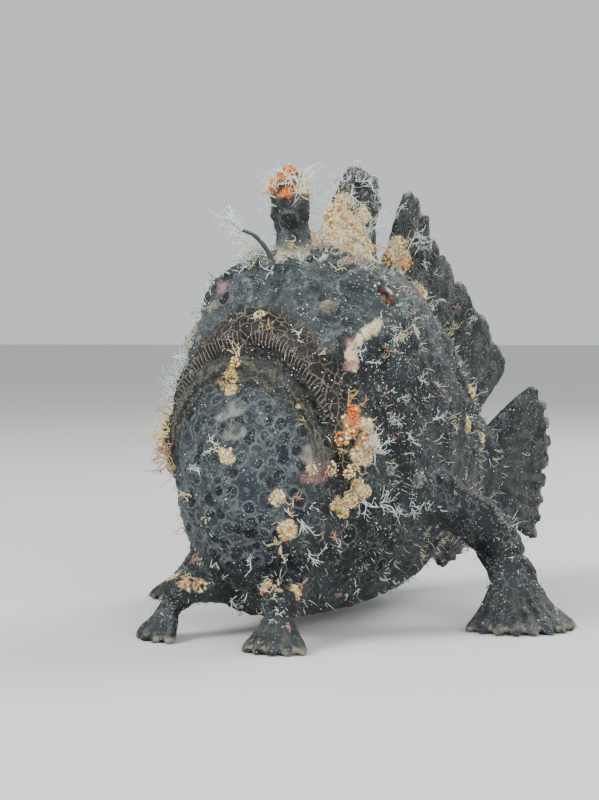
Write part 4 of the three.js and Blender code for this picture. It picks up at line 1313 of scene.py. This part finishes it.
def grain(store, point, normal, radius, paint, rng):
    """A small rounded granule, half sunk."""
    verts, faces = dome(point, normal, radius, radius * rng.uniform(0.8, 1.3), 6, 5, radius * 0.6)
    uv = unwrap(point) + PATCH * (np.random.default_rng(1).random((len(verts), 2)) - 0.5)
    store.append((verts, faces, painted(paint, len(verts), rng, 0.25), uv))


# %% [markdown]
# ## Granular warts
# The real warts look like bunches of tiny beads. One bumpy dome would look like clay, so each dome is
# packed with small grains in a seeded draw. A wart's share of orange grains grows with its own orange.

# %% Grains packed over each dome
rng = np.random.default_rng(12)
warty = []
for point, normal, radius, height, rust, cream in granular:
    side, other = across_of(normal, (0.3, 0.2, 1.0))
    for _ in range(int(16 + 11 * radius)):
        tilt, t = np.arccos(1 - rng.uniform(0, 0.95)), rng.uniform(0, 6.28)
        out = side * np.cos(t) + other * np.sin(t)
        way = normal * np.cos(tilt) + out * np.sin(tilt)
        spot = point + out * radius * 0.92 * np.sin(tilt) + normal * height * 0.85 * np.cos(tilt)
        draw = rng.random()
        orange_share = 0.9 * rust**1.6
        paint = "orange" if draw < orange_share else "yellow" if draw < orange_share + 0.22 else "cream"
        if cream < 0.4 and rust < 0.4:
            paint = "grey"
        grain(warty, spot, way, rng.uniform(0.2, 0.52) * (0.6 + radius * 0.18), paint, rng)
print("grains", len(warty))

# %% [markdown]
# ## Fronds in view
# Small branched threads grow on the skin. Drawing every thread by hand would gain nothing, so those in
# view are sighted as tufts, each with its own count, length and paint, and a draw sets out the threads.

# %% Fronds sighted in the photo
# Each entry: spot across and down, how many, how long, paint
SEEN_FRONDS = [
    (350, 405, 5, 5, "yellow"), (358, 425, 7, 5, "cream"), (366, 440, 7, 6, "white"),
    (372, 452, 6, 7, "white"), (356, 462, 5, 4, "cream"), (344, 450, 3, 3, "yellow"),
    (330, 470, 5, 3, "rose"), (312, 472, 5, 3, "rose"), (352, 488, 6, 5, "cream"),
    (344, 505, 6, 5, "cream"), (362, 500, 6, 6, "white"), (380, 504, 7, 6, "white"),
    (396, 507, 6, 5, "white"), (412, 508, 6, 5, "white"), (426, 504, 5, 4, "white"),
    (236, 356, 6, 4, "cream"), (232, 372, 7, 4, "yellow"), (228, 386, 6, 4, "yellow"),
    (214, 446, 5, 4, "white"), (222, 452, 5, 3, "cream"), (288, 506, 4, 4, "cream"),
    (302, 520, 5, 5, "white"), (282, 530, 4, 3, "cream"), (398, 341, 5, 4, "yellow"),
    (392, 330, 4, 3, "white"), (356, 350, 5, 3, "white"), (352, 362, 4, 3, "rose"),
    (380, 322, 3, 2, "white"), (172, 395, 7, 7, "white"), (170, 415, 8, 8, "white"),
    (168, 435, 8, 8, "cream"), (170, 452, 8, 7, "rose"), (176, 470, 6, 6, "cream"),
    (184, 365, 6, 5, "white"), (192, 342, 7, 5, "white"), (198, 322, 7, 5, "white"),
    (206, 305, 6, 4, "white"), (212, 285, 5, 3, "white"), (225, 275, 4, 3, "white"),
    (246, 268, 4, 4, "white"), (256, 263, 6, 8, "cream"), (266, 257, 7, 8, "white"),
    (250, 267, 5, 7, "white"), (262, 254, 6, 5, "white"), (276, 250, 6, 5, "white"),
    (286, 258, 5, 4, "white"), (272, 272, 4, 3, "white"), (290, 244, 5, 4, "cream"),
    (322, 262, 6, 4, "white"), (300, 262, 6, 4, "white"), (340, 268, 6, 4, "cream"),
    (310, 245, 4, 3, "rose"), (326, 205, 6, 5, "cream"), (340, 200, 7, 6, "cream"),
    (356, 206, 7, 6, "white"), (346, 222, 7, 4, "cream"), (332, 224, 6, 4, "cream"),
    (362, 230, 6, 5, "white"), (348, 246, 6, 4, "cream"), (372, 246, 6, 5, "cream"),
    (362, 185, 5, 6, "white"), (345, 182, 5, 5, "white"), (398, 212, 4, 5, "white"),
    (402, 244, 6, 5, "cream"), (414, 236, 6, 5, "white"), (396, 262, 5, 4, "yellow"),
    (420, 262, 4, 4, "white"), (436, 300, 3, 4, "white"), (450, 330, 4, 5, "cream"),
    (300, 340, 3, 3, "white"), (322, 352, 3, 3, "cream"), (280, 545, 5, 5, "cream"),
    (200, 470, 4, 4, "white"), (190, 500, 4, 5, "cream"), (182, 520, 6, 5, "cream"),
    (250, 560, 3, 4, "white"), (310, 555, 4, 5, "white"), (330, 535, 5, 5, "rose"),
    (392, 420, 5, 4, "white"), (410, 440, 5, 4, "white"), (400, 400, 4, 4, "white"),
    (420, 380, 4, 4, "white"), (432, 420, 4, 5, "white"), (268, 330, 3, 3, "yellow"),
    (256, 322, 3, 3, "cream"), (306, 420, 3, 2.5, "yellow"), (300, 405, 3, 2.5, "cream"),
]
# Each entry: spot across and down, length, and its direction across and up the picture
SEEN_STRANDS = [
    (368, 232, 14, 0.05, 1.0), (366, 238, 10, 0.2, 1.0), (414, 256, 11, 0.35, 1.0),
    (408, 250, 7, 0.1, 1.0), (277, 192, 7, -0.7, 1.0), (276, 198, 6, -1.0, 0.5), (277, 206, 5, -1.0, 0.1),
    (308, 200, 6, 1.0, 0.3), (262, 262, 8, -0.6, 1.0), (256, 264, 9, -0.9, 1.0), (268, 258, 8, -0.4, 1.0),
    (250, 266, 6, -1.0, 0.8), (330, 208, 6, 0.1, 1.0), (350, 200, 8, 0.0, 1.0), (366, 362, 4, 1.0, 0.1),
    (388, 342, 5, 1.0, 0.5),
]
fronds = []
for px, py, many, length, paint in SEEN_FRONDS:
    found = sighted(px, py)
    if found is not None:
        tuft(fronds, found[0], found[1], many, length, paint, rng)
for px, py, reach, across, up in SEEN_STRANDS:
    found = sighted(px, py)
    if found is not None:
        for _ in range(2):
            strand_way = across * RIGHT + up * UP + 0.3 * found[1]
            frond(fronds, found[0], strand_way, reach, "white", rng, 0.16, 9)
print("threads sighted", len(fronds))

# %% [markdown]
# ## Fronds on the cap, the knees and the far corner of the mouth
# A ray from the camera would slip past these, so they can't be sighted. They are placed on the model
# itself instead, by a place on the cap or the knee, or along and round the body.

# %% Fronds on the cap, the knees and the corner
# Each entry: place across and along from the middle of the cap, and length
CAP_TUFTS = [
    (-3.4, 0, 6), (3.2, -1, 9), (1.5, -3, 8), (0, 3, 6),
    (-1.5, -3, 5), (3.6, 2, 8), (-3.8, -2, 6), (2.4, 0.5, 9),
]
# Each entry: place along the body, turn round it in degrees, how many, how long, paint
CORNER_TUFTS = [
    (4, -74, 9, 9, "white"), (5, -80, 8, 8, "cream"), (6, -88, 9, 8, "rose"), (5, -66, 7, 7, "white"),
    (0, -84, 8, 9, "white"), (-1, -90, 8, 8, "rose"), (1, -77, 7, 8, "cream"), (1, -66, 6, 7, "white"),
    (7, -96, 6, 6, "cream"), (4, -58, 6, 6, "white"), (12, -62, 5, 5, "white"), (8, -46, 4, 4, "white"),
]
for x, y, reach in CAP_TUFTS:
    spot = CAP_TOP + np.array([x, y, 0.6])
    way = np.array([0.2 * x, 0.14 * y, 1.0])
    tuft(fronds, spot, way / np.linalg.norm(way), 5, reach, "white" if x > 0 else "cream", rng, 0.2, 0.8)
for side in (1, -1):
    for _ in range(4):
        knee_spot = np.array([side * 13.9, -11.8, 14.2]) + rng.normal(size=3) * [1.8, 1.5, 0.4]
        tuft(fronds, knee_spot, np.array([0.2 * side, -0.5, 0.85]), 3, 3.5, "cream", rng)
for y, degrees, many, reach, paint in CORNER_TUFTS:
    tuft(fronds, *skin_point(place_of(y), rad(degrees)), many, reach, paint, rng, 0.19, 0.9)
print("threads placed", len(fronds))

# %% [markdown]
# ## Fronds over the rest of the skin
# Growth settles in drifts, not evenly. A seeded draw picks vertices of the skin, with a greater chance
# where a slow wave is high, and leaves out the eyes, the front of the face and the soles.

# %% Seeded fronds in drifts
FROND_TRIES, SAND_TRIES, FUZZ_TRIES = 9000, 40000, 70000


def eye_distance(points):
    """Distance to the nearer eye's middle."""
    return np.minimum(*(np.linalg.norm(points - EYE_CENTRE * [side, 1, 1], axis=1) for side in (1, -1)))


def off_face(picks):
    """Whether each picked vertex lies off the front of the face, or right on the line of the mouth."""
    return np.abs(lips[picks] * front[picks]) < 0.05


scattered = []
order = rng.permutation(len(skin_verts))[:FROND_TRIES]
drift = waves(skin_verts[order], 26, 31) + 0.6 * waves(skin_verts[order], 11, 32)
clear = (skin_verts[order, 2] > 5) & off_face(order)
clear &= eye_distance(skin_verts[order]) > 6.5
chance = np.where(drift > 0.5, 0.09, 0.02) * np.where(front[order] > 0.5, 0.5, 1.0)
picked = order[clear & (rng.random(len(order)) < chance)]
for i in picked:
    paint = rng.choice(["white", "white", "cream", "grey", "rose"])
    many, length = rng.integers(1, 4), rng.uniform(1.6, 4.2)
    tuft(scattered, skin_verts[i], skin_normals[i], many, length, paint, rng, 0.14, 0.9, 4)
print("threads scattered", len(scattered), "from", len(picked), "roots")

# %% [markdown]
# ## Fine sand
# White grains are caught in the skin, thickest on the cheek and on raised spots. A texture of dots
# would look flat in the light, so each grain is a dome of a few faces.

# %% White grains like fine sand
SAND_SIZES, LID_SIZES = [0.09, 0.12, 0.16, 0.22], [0.2, 0.28, 0.36]
CHEEK_SPOT = (405, 400)
sand = []
order = rng.permutation(len(skin_verts))[:SAND_TRIES]
sand_spots = skin_verts[order]
drift = 0.5 + 0.5 * np.tanh(1.5 * waves(sand_spots, 15, 41) + 0.8 * waves(sand_spots, 5, 42))
cheek, _ = sighted(*CHEEK_SPOT)
thick = 1 + 5.5 * bell(np.linalg.norm((sand_spots - cheek) * [1, 1, 0.6], axis=1), 15)
on_ridge = 0.25 + 0.75 * smooth_step(-0.05, 0.25, rough_height[order])
chance = drift * 0.2 * thick * on_ridge * (sand_spots[:, 2] > 3) * (1 - 0.7 * regions["throat"][order])
for i in order[rng.random(len(order)) < chance]:
    grain(sand, skin_verts[i], skin_normals[i], rng.choice(SAND_SIZES), "white", rng)
for point, out_way in lid_flecks:
    grain(sand, point, out_way, rng.choice(LID_SIZES), rng.choice(["white", "cream"]), rng)
print("sand grains", len(sand))

# %% [markdown]
# ## Fuzz on the ridges
# Up close every ridge carries hair-thin filaments. Particle hair would look right in a render but
# would not travel with the model, so these are tubes of three sides and four rings.

# %% Short fuzz along the ridges
fuzz = []
order = rng.permutation(len(skin_verts))[:FUZZ_TRIES]
fuzz_spots = skin_verts[order]
drift = 0.5 + 0.5 * np.tanh(1.6 * waves(fuzz_spots, 13, 51) + 0.6 * waves(fuzz_spots, 6, 52) - 0.3)
chance = 0.5 * drift * smooth_step(0.0, 0.3, rough_height[order]) * (1 - 0.85 * regions["throat"][order])
chance = chance + 0.3 * folds(fuzz_spots)
chance = chance * (fuzz_spots[:, 2] > 6) * off_face(order) * (1 - 0.7 * on_fin[order])
chance = chance * (eye_distance(fuzz_spots) > 5.6)
for i in order[rng.random(len(order)) < chance]:
    root, out_way = skin_verts[i], skin_normals[i]
    reach = rng.uniform(0.7, 2.0)
    lean = out_way + rng.normal(size=3) * 0.5
    curl = rng.normal(size=3) * 0.4 * reach
    points = [root - 0.2 * out_way, root + 0.5 * reach * lean, root + reach * lean + curl]
    thread(fuzz, points, 0.12, 0.06, rng.choice(["white", "white", "grey", "cream"]), rng, 3, 4)
print("fuzz threads", len(fuzz))

# %% [markdown]
# ## The rod and its lure
# The rod is a thin bare filament, and the lure a fluffy tuft that it dangles over the mouth. The tuft
# is fronds from one small bead: the first towards each end is long, the other three shorter.

# %% The rod and its lure
LURE = np.array([0, -9.2, 101.9])
LURE_ENDS = [
    (-2.5, -15.2, 112.0), (2, -14, 106), (-3, -14.2, 102),
    (1, -15, 99.6), (-1, -11, 108), (2.6, -12.5, 100.8),
]
ROD_PAINT = [0.06, 0.07, 0.07]
core_verts, core_faces = dome(LURE + np.array([0, 0.4, -0.4]), np.array([0, -0.6, 0.8]), 1.1, 1.4)
lure_tuft = [(core_verts, core_faces, painted("cream", len(core_verts), rng), unwrap(core_verts))]
for end in LURE_ENDS:
    for k in range(4):
        way = np.array(end) - LURE + rng.normal(size=3) * (0.9 if k else 0.2)
        reach = np.linalg.norm(np.array(end) - LURE) * (0.95 if k == 0 else rng.uniform(0.4, 0.75))
        frond(lure_tuft, LURE + 0.2 * rng.normal(size=3), way, reach, "white", rng, 0.24, 5)
rod_parts = [(rod_verts, rod_faces, np.tile(ROD_PAINT, (len(rod_verts), 1)), unwrap(rod_verts))]
print("threads of the lure", len(lure_tuft))

# %% [markdown]
# ## Growths as pieces
# The small growths could each be an object, but thousands would be slow. Their grids become a few pieces,
# one for each kind. One matt material serves all: it reads the paint per vertex, browned here and there.

# %% Material of the growths and the pieces themselves
MARGIN = 0.1
GROWTH_FLOOR = 0.05
wisp = Shader("frogfish_growths")
paint_here = wisp.add("ShaderNodeAttribute", attribute_name="paint").outputs["Color"]
wisp_here = wisp.add("ShaderNodeTexCoord").outputs["Object"]
browned = wisp.band(wisp.noise(1.4, wisp_here, 3), 0.56, 0.72, 0.55)
wisp.put(wisp.surface.inputs["Base Color"], wisp.mix(paint_here, (0.3, 0.22, 0.12), browned))
wisp.put(wisp.surface.inputs["Roughness"], 0.5)
wisp.put(wisp.surface.inputs["Specular IOR Level"], 0.35)


def coat_piece(name, pieces, nodes=()):
    """Join small grids into one piece with its paint and the map OFBake."""
    verts, faces, paint, map_spots = joined(pieces)
    verts[:, 2] = np.maximum(verts[:, 2], GROWTH_FLOOR)
    low, high = (np.array(corner) * 1000 - SHIFT for corner in solid_box)
    verts = np.clip(verts, low + MARGIN, high - MARGIN)
    obj = to_object(name, to_mesh(name, verts, faces[:, ::-1]))
    rgba = np.hstack([paint, np.ones((len(paint), 1))]).astype(np.float32)
    obj.data.attributes.new("paint", "FLOAT_COLOR", "POINT").data.foreach_set("color", rgba.ravel())
    corner = np.empty(len(obj.data.loops), int)
    obj.data.loops.foreach_get("vertex_index", corner)
    corner_spots = map_spots[corner].astype(np.float32)
    obj.data.uv_layers.new(name="OFBake").data.foreach_set("uv", corner_spots.ravel())
    finish_piece(obj, wisp.material, nodes)
    print(name, sum(len(p.vertices) - 2 for p in obj.data.polygons), "triangles")


coat_piece("warty_grains", warty)
coat_piece("skin_fronds", fronds)
coat_piece("small_fronds", scattered)
coat_piece("sand_grains", sand)
coat_piece("ridge_fuzz", fuzz)
coat_piece("rod", rod_parts, ["illicium"])
coat_piece("lure_tuft", lure_tuft, ["esca"])

# %% [markdown]
# ## Floor, light and camera
# A pale floor and broad soft lights show the dark skin without glare. Small lamps would give hard
# white spots on the damp eyes. The camera is the one that the sighting used.

# %% Stage
FLOOR_REACH = 30
corner_signs = [(-1, -1), (1, -1), (1, 1), (-1, 1)]
floor_corners = [(x * FLOOR_REACH, y * FLOOR_REACH, 0) for x, y in corner_signs]
floor_mesh = bpy.data.meshes.new("floor")
floor_mesh.from_pydata(floor_corners, [], [(0, 1, 2, 3)])
floor = to_object("floor", floor_mesh)
pale = Shader("pale_floor")
pale.surface.inputs["Base Color"].default_value = (0.62, 0.62, 0.61, 1)
pale.surface.inputs["Roughness"].default_value = 0.9
floor_mesh.materials.append(pale.material)

world = bpy.data.worlds.new("soft_sky")
world.use_nodes = True
sky = world.node_tree.nodes["Background"].inputs
sky["Color"].default_value = (0.75, 0.78, 0.8, 1)
sky["Strength"].default_value = 0.95
bpy.context.scene.world = world
LIT_SPOT = (0, 0, 0.06)


def look_along(obj, place, way):
    """Put a lamp or a camera at a place, facing along a direction, and link it into the scene."""
    obj.location = place
    obj.rotation_euler = Vector(way).to_track_quat("-Z", "Y").to_euler()
    bpy.context.scene.collection.objects.link(obj)


def area_light(name, place, size, power):
    """A square lamp aimed at the middle of the fish."""
    data = bpy.data.lights.new(name, "AREA")
    data.size = size
    data.energy = power
    look_along(bpy.data.objects.new(name, data), place, Vector(LIT_SPOT) - Vector(place))


area_light("key", (-0.35, -0.75, 0.7), 0.45, 12)
area_light("fill", (0.75, -0.5, 0.35), 0.6, 7)
area_light("rim", (0.3, 0.7, 0.7), 0.5, 8)

camera_data = bpy.data.cameras.new("camera")
camera_data.lens = 75.6
camera_data.sensor_width = 36
camera = bpy.data.objects.new("camera", camera_data)
look_along(camera, (CAMERA + SHIFT) / 1000, -BACKWARD)
bpy.context.scene.camera = camera
print("camera at", [round(float(c), 4) for c in camera.location])
